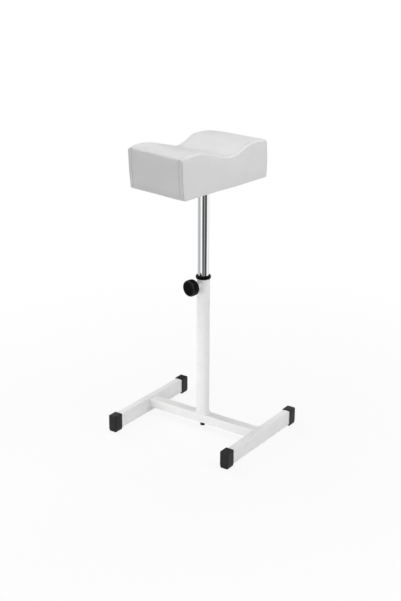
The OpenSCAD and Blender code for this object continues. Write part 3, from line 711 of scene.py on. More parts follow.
def simulate(points, faces):
    """The remeshed pad, its points at rest and where pressure takes them."""
    raw = new_object("workshop_block", points, faces)
    remesh = raw.modifiers.new("even", "REMESH")
    remesh.mode = "VOXEL"
    remesh.voxel_size = VOXEL
    pad = bpy.data.objects.new("workshop_pad", evaluated_mesh(raw))
    bpy.context.scene.collection.objects.link(pad)
    bpy.data.objects.remove(raw)
    rest = read_vectors(pad.data.vertices, "co")
    weights = hold_weights(rest)
    group = pad.vertex_groups.new(name="held")
    for level in np.unique(np.round(weights, 2)):
        group.add(np.flatnonzero(np.round(weights, 2) == level).tolist(), float(level), "REPLACE")
    cloth = pad.modifiers.new("cover", "CLOTH")
    for setting, value in CLOTH_SETTINGS.items():
        setattr(cloth.settings, setting, value)
    cloth.settings.effector_weights.gravity = 0
    cloth.point_cache.frame_start, cloth.point_cache.frame_end = 1, SIM_FRAMES
    for frame_number in range(1, SIM_FRAMES + 1):
        bpy.context.scene.frame_set(frame_number)
    swollen = read_vectors(evaluated_mesh(pad).vertices, "co")
    bpy.context.scene.frame_set(1)
    pad.modifiers.remove(cloth)
    move = swollen - rest
    length = np.linalg.norm(move, axis=1, keepdims=True)
    move *= np.minimum(1, CAP / np.maximum(length, 1e-9))
    move[:, 2] = np.where(rest[:, 2] < HELD_BELOW, 0, move[:, 2])
    return pad, rest, rest + move


print("cloth:", SIM_FRAMES, "frames on voxels of", VOXEL / MM, "mm, capped at", CAP / MM, "mm")

# %% Carry the movement over
COARSE_SPACING, COARSE_ROWS = 9 * MM, 9


def follow(cover_points, cover_faces, pad, swollen):
    """The cover's points after the pad's movement, carried by a Surface Deform modifier."""
    cover = new_object("workshop_cover", cover_points, cover_faces)
    carry = cover.modifiers.new("carry", "SURFACE_DEFORM")
    carry.target = pad
    bpy.context.view_layer.objects.active = cover
    bpy.context.view_layer.update()
    with bpy.context.temp_override(object=cover, active_object=cover, selected_objects=[cover]):
        bpy.ops.object.surfacedeform_bind(modifier=carry.name)
    if not carry.is_bound:
        raise RuntimeError("the cover didn't bind to the pad")
    pad.data.vertices.foreach_set("co", swollen.astype(np.float32).ravel())
    pad.data.update()
    moved = read_vectors(evaluated_mesh(cover).vertices, "co")
    bpy.data.objects.remove(cover)
    return moved


cover_points, cover_faces = skin(cover_rings)
coarse = (np.linspace(0, FLAT, COARSE_ROWS), PANEL_INSETS[1::2], PANEL_SHARES[1::2], COARSE_SPACING)
pad, rest_points, swollen_points = simulate(*skin(block(*coarse, shrink=SHRINK)[0]))
moved = follow(cover_points, cover_faces, pad, swollen_points)
for what, change in (("pad", swollen_points - rest_points), ("cover", moved - cover_points)):
    length = np.linalg.norm(change, axis=1) / MM
    print(what, len(change), "points, moved by", round(float(length.mean()), 2), "mm on average and",
          round(float(length.max()), 2), "at most")
bpy.data.objects.remove(pad)
cover_points = moved

# %% [markdown]
# Where the cover is pulled round the board to its staples, it makes a soft roll that hangs
# a little below the board. In the photograph it hangs lower at the near corner and behind
# the middle of the right side, so the roll has sags: a place, a width and a depth each, in
# millimetres. It ends 20 mm from the edge, well outside the dust cover.

# %% Roll the lower edge
ROLL, ROLL_WIDTH, ROLL_FULL = 3.2 * MM, 20 * MM, 7 * MM
ROLL_FROM, ROLL_HEIGHT = 1 * MM, 16 * MM
SAGS = [(91, -160, 70, 0.8), (45, -160, 50, 1.2), (91, 35, 50, 1.2)]


def edge_roll(points):
    """How far each point sinks: all of the roll at the lower edge, none further in than its width or
    above its height. Each sag adds depth exp(-(distance / width) ** 2)."""
    x, y, z = points.T
    inside = np.minimum(SEAT_W / 2 - np.abs(x), SEAT_L / 2 - np.abs(y))
    sag = sum(depth * MM * np.exp(-((x / MM - at_x) ** 2 + (y / MM - at_y) ** 2) / width ** 2)
              for at_x, at_y, width, depth in SAGS)
    return ((ROLL + sag) * smooth((ROLL_WIDTH - inside) / (ROLL_WIDTH - ROLL_FULL))
            * smooth(1 - (z - ROLL_FROM) / ROLL_HEIGHT))


sunk = edge_roll(cover_points)
cover_points = cover_points - sunk[:, None] * np.array([0, 0, 1])
print("roll:", round(float(sunk.max()) * 1000, 2), "mm at most")

# %% [markdown]
# Now the sewing. Everything is a small movement along the surface's normal, drawn from
# two coordinates that the grid already has: the distance from the edge, and the column,
# which runs round the cushion. The underside has no seam, so a mask fades it out there.
# Gathers, which a machine leaves where it eases a strip round a corner, are a few cosines
# along the seam that die away from it. On the underside the cover ends in a hem, inside
# of which the board shows: there the skin steps up, out of sight.

# %% Sew the seams
BAND, BAND_HEIGHT, BAND_EASE = 8.6 * MM, 0.9 * MM, 1.6 * MM
SEAM_AT, SEAM_WIDTH = -0.6 * MM, 1.25 * MM
# Depths in millimetres of the seam and of the stitched groove: everywhere, and added on the ends
SEAM_DEPTH, STITCHED_DEPTH, PUCKER_DEPTH = (0.4, 1.5), (1.1, 0.6), 1.2
UNDER_DEPTH, UNDER_AT, UNDER_WIDTH = 0.5 * MM, -4 * MM, 4 * MM
BEYOND_HEIGHT, BEYOND_FROM, BEYOND_TO = 0.5 * MM, BAND + 1 * MM, BAND + 8 * MM
GATHER_WAVES, GATHER_SWELL, GATHER_HEIGHT = (7.3, 9.7, 13.1, 17.9), 146, 0.3 * MM
GATHER_REACH, GATHER_SIDE_REACH, GATHER_SIDE_AT = 10 * MM, 9 * MM, -3 * MM
BAND_GATHER, SIDE_GATHER = 0.3, 0.4


def hump(d, low, high):
    """A raised cosine between two distances: 0 outside, 1 in the middle."""
    t = np.clip((d - low) / (high - low), 0, 1)
    return np.sin(np.pi * t) ** 2


def groove(d, at, width):
    """A bell of a width at a distance: exp(-((d - at) / width) ** 2)."""
    return np.exp(-(((d - at) / width) ** 2))


def sewing(distance, arc, mask, on_end, pucker):
    """Height of the sewn relief over points with their distance from the seam, their length round the
    ring and how far they may move: a flat band, a groove on each side of it, and gathers beside them.
    The seam's own groove is deeper on the ends, and the stitched one where the cover puckers."""
    rng = np.random.default_rng(7)
    d, s = distance, arc
    band = BAND_HEIGHT * np.clip(d / BAND_EASE, 0, 1) * np.clip((BAND - d) / BAND_EASE, 0, 1)
    seam = -(SEAM_DEPTH[0] + SEAM_DEPTH[1] * on_end) * MM * groove(d, SEAM_AT, SEAM_WIDTH)
    stitched = STITCHED_DEPTH[0] + STITCHED_DEPTH[1] * on_end + PUCKER_DEPTH * pucker
    seam = seam - stitched * MM * groove(d, BAND, SEAM_WIDTH)
    under = -UNDER_DEPTH * groove(d, UNDER_AT, UNDER_WIDTH) * (d < 0)
    beyond = BEYOND_HEIGHT * hump(d, BEYOND_FROM, BEYOND_TO)
    gathers = np.zeros_like(d)
    for wave in GATHER_WAVES:
        gathers = gathers + np.cos(2 * np.pi * s / (wave * MM) + rng.uniform(0, 2 * np.pi))
    gathers *= 0.5 + 0.5 * np.cos(2 * np.pi * s / (GATHER_SWELL * MM) + rng.uniform(0, 2 * np.pi))
    fade = groove(d, BAND, GATHER_REACH) * (d > BAND) + BAND_GATHER * hump(d, 0, BAND)
    side_fade = SIDE_GATHER * groove(d, GATHER_SIDE_AT, GATHER_SIDE_REACH) * (d < GATHER_SIDE_AT)
    return mask * (band + seam + under + beyond + GATHER_HEIGHT * gathers * (fade + side_fade))


middle_of_band = sewing(np.array([BAND / 2]), np.zeros(1), 1.0, 0.0, 0.0)
print("the middle of the band stands", round(float(middle_of_band[0]) / MM, 2), "mm high")

# %% Relief of the seams
TURN_IN = 3.6 * MM
PUCKERS, PUCKER_WIDTH = (-148 * MM, 90 * MM), 8 * MM
MASK_FROM, MASK_OVER = 1 * MM, 8 * MM
END_FROM, END_OVER = 140, 14


def vertex_normals(points, faces):
    """Unit normals of a quad and triangle mesh, from Blender."""
    thing = new_object("workshop_normals", points, faces)
    normals = read_vectors(thing.data.vertex_normals, "vector")
    bpy.data.objects.remove(thing)
    return normals


def on_vertices(values):
    """Values over the grid as one for each vertex, and 0 for the two middle points of the panels."""
    return np.append(values.ravel(), [0.0, 0.0])


rows, columns = cover_rings.shape[:2]
edge_row = int(np.argmin(np.abs(edge_distance[rows // 2:]))) + rows // 2
loop = cover_points[:-2].reshape(rows, columns, 3)[edge_row]
arc_length = lengths_along(np.vstack([loop, loop[:1]]))[:-1]
seam_mask = np.clip((loop[:, 2] - MASK_FROM) / MASK_OVER, 0, 1) ** 0.5
seam_mask[:underside] = 0
on_end = np.clip((np.abs(loop[:, 1]) / MM - END_FROM) / END_OVER, 0, 1) ** 2
seam_distance = edge_distance[:, None] - TURN_IN * on_end
near_side = np.linspace(-1, 1, rows)[:, None] > 0
pucker = sum(groove(loop[:, 1], at, PUCKER_WIDTH) for at in PUCKERS) * (loop[:, 2] > HOLLOW_H) * near_side
relief = on_vertices(sewing(seam_distance, arc_length, seam_mask, on_end, pucker))
normals = vertex_normals(cover_points, cover_faces)
sewn = cover_points + relief[:, None] * normals
print("sewn relief from", round(float(relief.min()) / MM, 2), "to", round(float(relief.max()) / MM, 2), "mm")

# %% [markdown]
# Three small things finish the cover: a broad unevenness, as of anything pulled by hand,
# the painted shade and painted highlight that its material reads, and the step at the hem.

# %% Wander, marks and hem
WANDER, WANDER_FROM, WANDER_OVER = 0.35 * MM, 4 * MM, 20 * MM
# Painted shade in the stitched groove: everywhere, and added on the ends and where the cover puckers
STITCH_SHADE = (0.1, 0.9, 1.8)
# Painted shade above the lower edge: everywhere, and added beyond the ramp at the ends
LOW_SHADE, LOW_SHADE_HEIGHT, LOW_SHADE_ENDS = (0.2, 0.7), 26 * MM, (150 * MM, 8 * MM)
HIGHLIGHT_FROM = -2 * MM
HEM_LIFT, HEM_EASE, HEM_BELOW = 2.2 * MM, 1 * MM, 1.5 * MM


def soft_wander(points):
    """Unevenness of a pulled cover: three slow products of sines of the place in millimetres."""
    x, y, z = (points / (1 * MM)).T
    return WANDER * (
        np.sin(x / 23 + 0.6) * np.sin(y / 37 + 1.1) + 0.7 * np.sin(z / 17 + y / 51) * np.sin(x / 31 + 2.0)
        + 0.5 * np.sin((x + y) / 29)
    )


above = np.clip((cover_points[:, 2] - WANDER_FROM) / WANDER_OVER, 0, 1)
sewn += (soft_wander(cover_points) * above)[:, None] * normals
# Painted shade: a darker tint where shade falls, in the seam groove on the ends, in the stitched groove and
# above the lower edge
on_seam = on_end * groove(seam_distance, SEAM_AT, SEAM_WIDTH)
on_stitches = STITCH_SHADE[0] + STITCH_SHADE[1] * on_end + STITCH_SHADE[2] * pucker
on_stitches = on_stitches * groove(seam_distance, BAND, SEAM_WIDTH)
painted_shade_amount = on_vertices(seam_mask * (on_seam + on_stitches))
# Painted highlight: a paler tint over the band between the seam and the stitches, away from the ends
painted_highlight = on_vertices(seam_mask * (1 - on_end) * hump(seam_distance, HIGHLIGHT_FROM, BAND))
across, lengthwise, height = np.abs(cover_points[:, 0]), np.abs(cover_points[:, 1]), cover_points[:, 2]
low_down = np.clip(1 - np.clip(height, 0, None) / LOW_SHADE_HEIGHT, 0, 1) ** 2
painted_shade_amount += (LOW_SHADE[0] + LOW_SHADE[1] * ramp(lengthwise, *LOW_SHADE_ENDS)) * low_down
inside = (np.clip((HEM_W / 2 - across) / HEM_EASE, 0, 1) * np.clip((HEM_L / 2 - lengthwise) / HEM_EASE, 0, 1)
          * (height < HEM_BELOW))
sewn[:, 2] += inside * HEM_LIFT
# The first count is of points with painted shade, the second of points with the painted highlight
print("dust on", int((painted_shade_amount > 0.1).sum()), "points, taut", int((painted_highlight > 0.1).sum()), "of", len(sewn))

# %% Place the cushion
SEAT_Z = 685 * MM
SEAT_YAW = math.radians(-6.6)
SEAT_SHIFT = np.array([-9 * MM, -5 * MM])


def turn(x, y, z, angle):
    """Points turned about Z: (x cos a - y sin a, x sin a + y cos a, z)."""
    c, s = math.cos(angle), math.sin(angle)
    return np.stack([c * x - s * y, s * x + c * y, z], axis=-1)


def to_seat(points):
    """Cushion coordinates to the stool's: shifted off the post, turned about it and lifted."""
    x, y, z = points.T
    return turn(x + SEAT_SHIFT[0], y + SEAT_SHIFT[1], z + SEAT_Z, SEAT_YAW)


cushion = make_piece("saddle_cushion", to_seat(sewn), cover_faces, leather_cloth, "seat",
                     "white_vinyl_leather")
# Both go on the cushion as attributes: the painted shade and the painted highlight on the band
for mark, amounts in (("painted_shade", painted_shade_amount), ("painted_band_highlight", painted_highlight)):
    cushion.data.attributes.new(mark, "FLOAT", "POINT").data.foreach_set("value", amounts.astype(np.float32))
finer = cushion.modifiers.new("finer", "SUBSURF")
finer.levels = finer.render_levels = 1
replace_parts(cushion, "seat_cover", "seat_foam")
print("cushion:", len(cushion.data.polygons), "faces before its subdivision")

# %% [markdown]
# ## Stitches
#
# The top-stitch is what tells an upholsterer's work from a moulded block. Each stitch is
# a small capsule of thread that dips into the cover at both ends. One capsule of a few
# dozen faces is repeated along the stitch row by arrays: a place, a direction along the
# seam and a normal for each copy.

# %% One stitch
STITCH_LENGTH = 3.3 * MM
THREAD_R = 0.36 * MM


def capsule(length, radius, sides=6):
    """Rings of a thread loop along X: radius sqrt(1 - u^2), bowed by a parabola so that both ends dip."""
    u = np.array([-0.97, -0.8, -0.4, 0.0, 0.4, 0.8, 0.97])
    v = np.linspace(0, 2 * np.pi, sides, endpoint=False)
    r = radius * np.sqrt(1 - u ** 2) ** 0.5
    bow = radius * (0.55 - 1.5 * u ** 2)
    x = np.repeat((u * length / 2)[:, None], sides, axis=1)
    return np.stack([x, r[:, None] * np.cos(v), r[:, None] * np.sin(v) + bow[:, None]], axis=-1)


stitch, stitch_quads = skin(capsule(STITCH_LENGTH, THREAD_R))
print("one stitch:", len(stitch_quads), "faces")

# %% Stitch rows
STITCH_PITCH = 4.4 * MM
LOOK_AHEAD = 0.5 * MM
STITCHED_ABOVE = 0.6


def stitch_line(line, normal, name):
    """Copies of the capsule along an open line of points, one each pitch."""
    length = lengths_along(line)
    at = np.arange(STITCH_PITCH / 2, length[-1], STITCH_PITCH)
    here, ahead, upright = (
        np.stack([np.interp(place, length, value) for value in values.T], axis=-1)
        for place, values in ((at, line), (at + LOOK_AHEAD, line), (at, normal)))
    tangent = ahead - here
    tangent /= np.maximum(np.linalg.norm(tangent, axis=1, keepdims=True), 1e-9)
    side = np.cross(upright, tangent)
    side /= np.linalg.norm(side, axis=1, keepdims=True)
    top = np.cross(tangent, side)
    axes = np.stack([tangent, side, top], axis=1)
    copies = here[:, None] + np.einsum("pk,nkj->npj", stitch, axes)
    print(name, "has", len(copies), "stitches")
    return join_skins((copy, stitch_quads) for copy in copies)


sewn_grid, sewn_normals = (
    values[:-2].reshape(rows, columns, 3) for values in (sewn, vertex_normals(sewn, cover_faces)))


def stitch_path(half, shown):
    """The line where the distance from the seam equals the band's width, between the rows on either side
    of it, with its normals."""
    off = np.where(np.isin(np.arange(rows), half)[:, None], np.abs(seam_distance - BAND), 1.0)[:, shown]
    first = np.argsort(off, axis=0)[:2]
    near, next_near = np.take_along_axis(off, first, axis=0)
    share = (near / (near + next_near))[:, None]
    pick = [(sewn_grid[row, shown], sewn_normals[row, shown]) for row in first]
    return tuple((1 - share) * pick[0][i] + share * pick[1][i] for i in (0, 1))


shown = np.flatnonzero(seam_mask > STITCHED_ABOVE)
halves = {"left seam": np.arange(rows // 2), "right seam": np.arange(rows // 2, rows)}
stitch_points, stitch_faces = join_skins(
    [stitch_line(*stitch_path(half, shown), seam_name) for seam_name, half in halves.items()])
make_piece("cushion_stitches", to_seat(stitch_points), stitch_faces, thread, "seat", "white_vinyl_leather")

# %% [markdown]
# ## End caps
#
# Each runner ends in a moulded cap that is also the foot. Its walls are pushed over the
# tube, so the mouth shows a rounded lip, and its sole is thicker and chamfered, so that it
# doesn't catch on a carpet. A box with a Bevel modifier would round all edges alike, so
# the cap is lofted instead: an outline with its own ease at each corner is carried from
# the mouth to the end, where it closes in along a quarter ellipse.

# %% End caps
CAP_W, CAP_H, CAP_L = 24.9 * MM, 46.45 * MM, 28 * MM
CAP_EASES = np.array([1.2, 3.2, 3.4, 3.4, 3.2, 1.2]) * MM
RUNNER_AT, BASE_END = 180 * MM, 166 * MM


def cap_outline(inset, low, toe, toe_h):
    """Front view of a cap, drawn in by inset, its underside at low, with chamfered lower corners."""
    w, top = CAP_W / 2 - inset, CAP_H - inset
    corners = [(w - toe, low), (w, low + toe_h), (w, top), (-w, top), (-w, low + toe_h), (toe - w, low)]
    return rounded(corners, np.minimum(CAP_EASES, 0.45 * w))


def cap_rings():
    """Outlines as (along, inset, low, toe, toe height): from inside the mouth, over its lip, along the
    cap, and in round its end along a quarter ellipse."""
    stations = [(4.0, 2.2, 3.85, 0.6, 3.0), (0.9, 2.2, 3.85, 0.6, 3.0), (0.25, 1.9, 3.4, 0.8, 3.4)]
    stations += [(0.0, 1.2, 2.2, 1.2, 5.0), (0.2, 0.45, 0.8, 1.7, 6.4), (0.8, 0.1, 0.15, 1.9, 6.9)]
    stations += [(1.8, 0.0, 0.0, 2.0, 7.0), (8.0, 0.0, 0.0, 2.0, 7.0), (16.0, 0.0, 0.0, 2.0, 7.0)]
    for a in np.linspace(0, math.pi / 2, 9):
        stations.append((25.2 + 2.8 * math.sin(a), 2.8 * (1 - math.cos(a)), 3.4 * (1 - math.cos(a)) ** 1.3,
                         2.0 + 0.5 * math.sin(a), 7.0 - 2.0 * math.sin(a)))
    stations += [(28.0, 5.0, 8.0, 2.0, 4.0), (27.9, 9.0, 16.0, 1.2, 3.0)]
    rings = []
    for along, inset, low, toe, toe_h in np.array(stations) * MM:
        xz = cap_outline(inset, low, toe, toe_h)
        rings.append(np.stack([xz[:, 0], np.full(len(xz), along), xz[:, 1]], axis=-1))
    return np.array(rings)


cap_points, cap_faces = skin(cap_rings())
for cap_name, side, end in (("front_left_cap", -1, -1), ("front_right_cap", 1, -1),
                            ("rear_left_cap", -1, 1), ("rear_right_cap", 1, 1)):
    placed = cap_points * np.array([1, end, 1]) + np.array([side * RUNNER_AT, end * (BASE_END - CAP_L), 0])
    cap = make_piece("moulded_" + cap_name, placed, cap_faces, cap_plastic, "base", "black_cap_plastic")
    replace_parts(cap, cap_name)
print("caps:", len(cap_faces), "faces each")

# %% [markdown]
# ## Collar and knob
#
# Both are turned shapes, so a profile revolved about an axis is all they need. The collar
# is a snap-in bush with a soft, full lip. The knob is moulded round the head of its screw:
# a hub, a disc with a shallow grip, a generous front edge and a plain face that dishes in
# by a fraction of a millimetre. Its front edge gets a glossier finish, which catches the
# lamps, in tones a little lighter than the face's: a painted highlight.

# %% Collar
COLLAR_SEGMENTS = 96
COLLAR_PROFILE = np.array([
    (15.1, 424), (16.2, 427.9), (18.4, 427.95), (19.3, 428.5), (19.8, 429.6), (20.0, 431.0),
    (20.0, 432.8), (19.75, 434.4), (19.1, 435.7), (18.1, 436.6), (17.0, 437.0), (16.0, 436.9),
    (15.35, 436.5), (15.08, 435.8), (15.06, 430), (15.06, 424.2),
]) * MM
collar_points, collar_faces = skin(turned(COLLAR_PROFILE, COLLAR_SEGMENTS), ends="loop")
collar = make_piece("post_collar_lip", collar_points, collar_faces, collar_plastic, "base",
                    "black_collar_plastic")
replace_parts(collar, "post_collar")
print("collar:", len(collar_faces), "faces")

# %% Knob
CLAMP_TURN = math.radians(-9)
CLAMP_Z = 412 * MM
KNOB_SEGMENTS, KNOB_FLUTES = 192, 24
KNOB_PROFILE = np.array([
    (4.2, 30.2), (8.8, 30.2), (9.7, 30.6), (10.0, 31.2), (10.0, 33.2), (10.5, 34.2), (12.0, 34.9),
    (14.0, 35.2), (18.4, 35.5), (20.2, 36.0), (21.2, 37.2), (21.6, 39.0), (21.8, 43.0), (22.0, 48.0),
    (21.95, 51.0), (21.6, 52.6), (20.8, 53.9), (19.6, 54.7), (18.2, 55.0), (16.6, 54.9), (15.6, 54.6),
    (14.4, 54.45), (9.0, 54.5), (3.0, 54.55),
]) * MM
GRIP_AT, GRIP_DEPTH, GRIP_RADIUS = np.array([36.4, 39.0, 51.0, 53.2]) * MM, 0.55 * MM, 19.5 * MM
RIM_FROM, RIM_RADIUS = 52.8 * MM, 17.4 * MM
grip = np.interp(KNOB_PROFILE[:, 1], GRIP_AT, [0, GRIP_DEPTH, GRIP_DEPTH, 0])
grip[KNOB_PROFILE[:, 0] < GRIP_RADIUS] = 0


def to_clamp(points):
    """Points along the clamp screw: Z of the piece points away from the post, turned by CLAMP_TURN."""
    x, y, z = points.T
    return turn(x, -z, y + CLAMP_Z, CLAMP_TURN)


knob_points, knob_faces = skin(turned(KNOB_PROFILE, KNOB_SEGMENTS, KNOB_FLUTES, grip))
knob = make_piece("clamp_knob_grip", to_clamp(knob_points), knob_faces, knob_plastic, "knob",
                  "black_knob_plastic")
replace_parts(knob, "clamp_knob")
# The rim's own finish, glossier and a little lighter in tone as a painted highlight
knob.data.materials.append(knob_rim_painted_highlight)
clamp_at, clamp_to = to_clamp(np.array([[0, 0, 0], [0, 0, 1.0]]))
centres = read_vectors(knob.data.polygons, "center") - clamp_at
depth = centres @ (clamp_to - clamp_at)
radius = np.linalg.norm(centres - depth[:, None] * (clamp_to - clamp_at), axis=1)
on_rim = (depth > RIM_FROM) & (radius > RIM_RADIUS)
knob.data.polygons.foreach_set("material_index", on_rim.astype(np.int32))
print("knob:", len(knob_faces), "faces,", int(on_rim.sum()), "of them on the glossy rim")

# %% [markdown]
# ## Weld beads
#
# The frame is welded before it is coated. A hand-made bead is a row of overlapping
# puddles, some 3 mm apart, and the powder only softens it. Each bead is a tube swept
# along its joint, half sunk in both metals, whose radius swells with every puddle.

# %% Weld beads
PUDDLE = 3.1 * MM
RIPPLE = 0.16
BEAD_POINTS, BOSS_BEAD_POINTS = 220, 120
BAR_BEAD, BOSS_BEAD, FOOT_BEAD, PLATE_BEAD = 1.75 * MM, 1.3 * MM, 1.5 * MM, 1.7 * MM
FOOT_JOINT, PLATE_JOINT = (17.9 * MM, 46.9 * MM), (15.6 * MM, 680.7 * MM)
BAR_HALF, BAR_LOW, BAR_TOP, BAR_ROUND, BAR_END = 14.4 * MM, 18.1 * MM, 43.7 * MM, 3 * MM, 169.4 * MM
BOSS_RADIUS, POST_RADIUS = 8.5 * MM, 17.6 * MM


def bead(path, outward, radius):
    """A rippled tube round a closed path. Radius: r (1 + ripple |sin(pi s / puddle)|), with whole puddles."""
    along = np.roll(path, -1, axis=0) - np.roll(path, 1, axis=0)
    along /= np.linalg.norm(along, axis=1, keepdims=True)
    *s, total = lengths_along(np.vstack([path, path[:1]]))
    puddles = max(1, round(total / PUDDLE))
    swell = radius * (1 + RIPPLE * np.abs(np.sin(np.pi * puddles * np.array(s) / total)))
    outward = outward - (outward * along).sum(1, keepdims=True) * along
    outward /= np.linalg.norm(outward, axis=1, keepdims=True)
    return skin(sweep(path, outward, along, swell), ends="loop")


def circle(radius, z, count=BEAD_POINTS):
    """A level circle of points round the post, with its outward directions."""
    u = np.linspace(0, 2 * np.pi, count, endpoint=False)
    outward = np.stack([np.cos(u), np.sin(u), np.zeros(count)], axis=-1)
    return outward * radius + np.array([0, 0, z]), outward


def crossbar_bead(side):
    """The joint of the crossbar's end with a runner: the bar's rounded section, evenly spaced."""
    corners = [(BAR_HALF, BAR_LOW), (BAR_HALF, BAR_TOP), (-BAR_HALF, BAR_TOP), (-BAR_HALF, BAR_LOW)]
    yz = rounded(corners, [BAR_ROUND] * 4, 8)
    closed = np.vstack([yz, yz[:1]])
    length = lengths_along(closed)
    at = np.linspace(0, length[-1], BEAD_POINTS, endpoint=False)
    y, z = (np.interp(at, length, values) for values in closed.T)
    path = np.stack([np.full(at.size, side * BAR_END), y, z], axis=-1)
    outward = path - np.array([side * BAR_END, 0, (BAR_LOW + BAR_TOP) / 2])
    return bead(path, outward, BAR_BEAD)


def boss_bead():
    """The joint of the boss with the round post: (r cos u, r sin u) at the depth sqrt(R^2 - x^2)."""
    path, outward = circle(BOSS_RADIUS, 0, BOSS_BEAD_POINTS)
    path[:, 2] = np.sqrt(POST_RADIUS ** 2 - path[:, 0] ** 2)
    return bead(to_clamp(path), to_clamp(outward) - clamp_at, BOSS_BEAD)


ON_FRAME, ON_PLATE = ("base", powder_coat, "white_powder_coat"), ("seat", zinc, "zinc_plated_steel")
beads = {
    "crossbar_weld_beads": (join_skins([crossbar_bead(-1), crossbar_bead(1)]), "crossbar_welds", ON_FRAME),
    "post_foot_bead": (bead(*circle(*FOOT_JOINT), FOOT_BEAD), "post_foot_weld", ON_FRAME),
    "boss_bead": (boss_bead(), "clamp_boss_weld", ON_FRAME),
    "plate_bead": (bead(*circle(*PLATE_JOINT), PLATE_BEAD), "seat_plate_weld", ON_PLATE),
}
for bead_name, (bead_skin, replaced, (body, finish, slot_name)) in beads.items():
    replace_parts(make_piece(bead_name, *bead_skin, finish, body, slot_name), replaced)
print("beads:", len(beads), "pieces")

# %% [markdown]
# ## Studio
#
# The stool stands on a white sweep in soft, even light. Two things make such a picture:
# a background that is just white, which comes from what the camera sees of the floor and
# the world and not from more light on the stool, and something dark for the chrome to
# mirror. A bare chrome tube in a white room looks like paper. Photographers stand grey and
# black cards round such a tube. Here a cylinder of greys does that, for glossy rays only.

# %% Floor and world
FLOOR_REACH = 9.0
# Where the shadow on the floor starts to fade and where it is gone, in metres, and the white over it before
SHADOW_FROM, SHADOW_TO, SHADOW_WHITE = 0.35, 1.3, 0.86
WORLD_LIGHT = 0.42


def seen_white(tree, plain, white, share=1.0):
    """Mixes a shader with a white one where a camera, glossy or transmission ray looks at it."""
    rays = add(tree, "ShaderNodeLightPath")
    seen = rays.outputs["Is Camera Ray"]
    for ray in ("Is Glossy Ray", "Is Transmission Ray"):
        seen = add(tree, "ShaderNodeMath", {0: seen, 1: rays.outputs[ray]}, operation="MAXIMUM")
    amount = add(tree, "ShaderNodeMath", {0: seen, 1: share}, operation="MULTIPLY")
    return add(tree, "ShaderNodeMixShader", {0: amount, 1: plain, 2: white})


def make_floor():
    """A wide square whose own shade, the stool's shadow, shows through near the stool only."""
    material, tree = new_material("paper_sweep_white")
    where = add(tree, "ShaderNodeTexCoord").outputs["Object"]
    far = add(tree, "ShaderNodeVectorMath", {0: where}, operation="LENGTH").outputs["Value"]
    share = add(tree, "ShaderNodeMapRange", {
        "Value": far, "From Min": SHADOW_FROM, "From Max": SHADOW_TO, "To Min": SHADOW_WHITE})
    paper = add(tree, "ShaderNodeBsdfDiffuse", {"Color": linear("f2f2f2")})
    white = add(tree, "ShaderNodeEmission", {"Color": (1, 1, 1, 1), "Strength": 1.0})
    add(tree, "ShaderNodeOutputMaterial", {"Surface": seen_white(tree, paper, white, share)})
    r = FLOOR_REACH
    new_object("floor", [(-r, -r, 0), (r, -r, 0), (r, r, 0), (-r, r, 0)], [(0, 1, 2, 3)], material)


def make_world():
    """Even light from all round, which looks plain white."""
    world = bpy.data.worlds.new("studio")
    world.use_nodes = True
    tree = world.node_tree
    tree.nodes.clear()
    light = add(tree, "ShaderNodeBackground", {"Color": (1, 1, 1, 1), "Strength": WORLD_LIGHT})
    white = add(tree, "ShaderNodeBackground", {"Color": (1, 1, 1, 1), "Strength": 1.0})
    add(tree, "ShaderNodeOutputWorld", {"Surface": seen_white(tree, light, white)})
    bpy.context.scene.world = world


make_floor()
make_world()
print("floor and world ready, world light", WORLD_LIGHT)

# %% Lamps


def lamp(name, at, aim, size, power, spread):
    """A square area lamp at a place, facing another. spread is the angle of its grid, in degrees."""
    light = bpy.data.lights.new(name, "AREA")
    light.shape = "SQUARE"
    light.size = size
    light.energy = power
    light.spread = math.radians(spread)
    thing = bpy.data.objects.new(name, light)
    bpy.context.scene.collection.objects.link(thing)
    thing.rotation_euler = (Vector(aim) - Vector(at)).to_track_quat("-Z", "Y").to_euler()
    thing.location = at
    return thing


LAMPS = {
    "key": ((2.0, 0.2, 1.5), (0, 0, 0.6), 1.0, 9.8, 180),
    "left": ((-2.2, 0.3, 1.4), (0, 0, 0.5), 1.0, 18.0, 180),
    "top": ((0.0, 0.0, 2.3), (0, 0, 0.4), 1.4, 11.7, 180),
    "front": ((1.35, -1.95, 0.75), (0, 0, 0.35), 0.8, 6.6, 180),
    "low": ((-0.5, -1.25, 0.3), (0, 0, 0.12), 0.4, 0.48, 50),
}
for lamp_name, (at, aim, size, power, spread) in LAMPS.items():
    lamp(lamp_name, at, aim, size, power, spread)
print("lamps:", ", ".join(LAMPS))

# %% Cards for the chrome
# The cylinder glows with greys that paint the tube's reflections: a painted reflection, no lamp, seen by
# glossy rays only
CARD_RADIUS = 0.9
CARD_FOOT, CARD_TOP = 0.02, 1.25
CARD_FROM, CARD_TO, CARD_SEGMENTS = -130, 230, 72
CARD_LOW, CARD_HIGH = 0.115, 0.282
CARD_LIGHT = 1.3

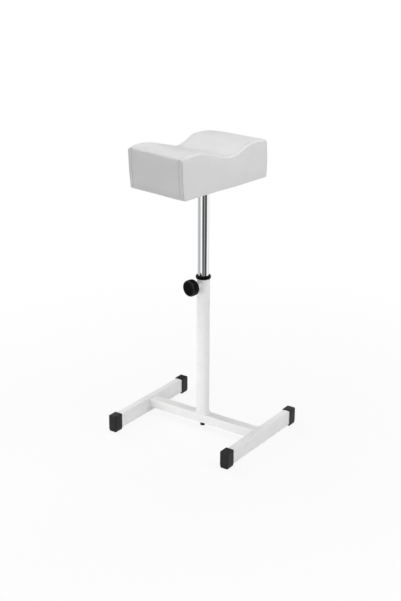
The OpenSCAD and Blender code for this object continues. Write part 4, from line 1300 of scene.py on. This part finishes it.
# Degrees round from the camera, and the grey that the tube shows there, low and high on it
CARD_GREYS = [
    (-130, "c8c8c8", "c8c8c8"), (-83, "a8a8a8", "a8a8a8"), (-61, "d2d2d2", "d2d2d2"),
    (-41, "ffffff", "ffffff"), (-31, "ffffff", "ffffff"), (-22, "8a8a8a", "4c4c4c"),
    (-5, "404040", "161616"), (16, "9a9a9a", "a2a2a2"), (37, "202020", "3a3a3a"),
    (61, "707070", "484848"), (77, "ffffff", "f0f0f0"), (87, "ffffff", "f4f4f4"),
    (104, "bcbcbc", "ececec"), (130, "e2e2e2", "e2e2e2"), (150, "f4f4f4", "f4f4f4"),
    (164, "dcdcdc", "dcdcdc"), (169, "3c3c3c", "343434"), (183, "161616", "1c1c1c"),
    (189, "8a8a8a", "808080"), (197, "ffffff", "ffffff"), (210, "b4b4b4", "bcbcbc"),
    (230, "c8c8c8", "c8c8c8"),
]


def make_cards():
    """An upright cylinder round the post: (R sin u, -R cos u, z), with u from the camera's azimuth."""
    share = np.linspace(0, 1, CARD_SEGMENTS + 1)
    u = np.radians(CARD_FROM + (CARD_TO - CARD_FROM) * share) + VIEW_AZIMUTH
    uu, zz = np.meshgrid(u, [CARD_FOOT, CARD_TOP])
    points = np.stack([CARD_RADIUS * np.sin(uu), -CARD_RADIUS * np.cos(uu), zz], axis=-1).reshape(-1, 3)
    i = np.arange(CARD_SEGMENTS)
    faces = np.stack([i, i + 1, i + CARD_SEGMENTS + 2, i + CARD_SEGMENTS + 1], axis=-1).tolist()
    material, tree = new_material("cards_glowing_painted_reflection")
    place = add(tree, "ShaderNodeSeparateXYZ", {0: add(tree, "ShaderNodeUVMap", uv_map="round")})
    low, high = (add(tree, "ShaderNodeValToRGB", {"Fac": place.outputs["X"]}, [
        ((angle - CARD_FROM) / (CARD_TO - CARD_FROM), greys[level]) for angle, *greys in CARD_GREYS
    ]) for level in (0, 1))
    upper = add(tree, "ShaderNodeMapRange", {
        "Value": place.outputs["Y"], "From Min": CARD_LOW, "From Max": CARD_HIGH})
    mixed = add(tree, "ShaderNodeMix", {"Factor": upper, "A": low, "B": high}, data_type="RGBA")
    # The glow is a painted reflection for glossy rays. It lights nothing and casts no shadow
    light = add(tree, "ShaderNodeEmission", {"Color": mixed.outputs["Result"], "Strength": CARD_LIGHT})
    add(tree, "ShaderNodeOutputMaterial", {"Surface": light})
    cards = new_object("cards", points, faces, material)
    corner = np.empty(len(cards.data.loops), np.int32)
    cards.data.loops.foreach_get("vertex_index", corner)
    round_and_up = np.stack([np.tile(share, 2)[corner], points[corner, 2]], axis=-1)
    cards.data.uv_layers.new(name="round").data.foreach_set("uv", round_and_up.ravel())
    for ray in ("camera", "diffuse", "shadow", "transmission"):
        setattr(cards, "visible_" + ray, False)


make_cards()
print("cards: from", CARD_FROM, "to", CARD_TO, "degrees round from the camera")

# %% Finish
bpy.context.scene.view_settings.view_transform = "Standard"
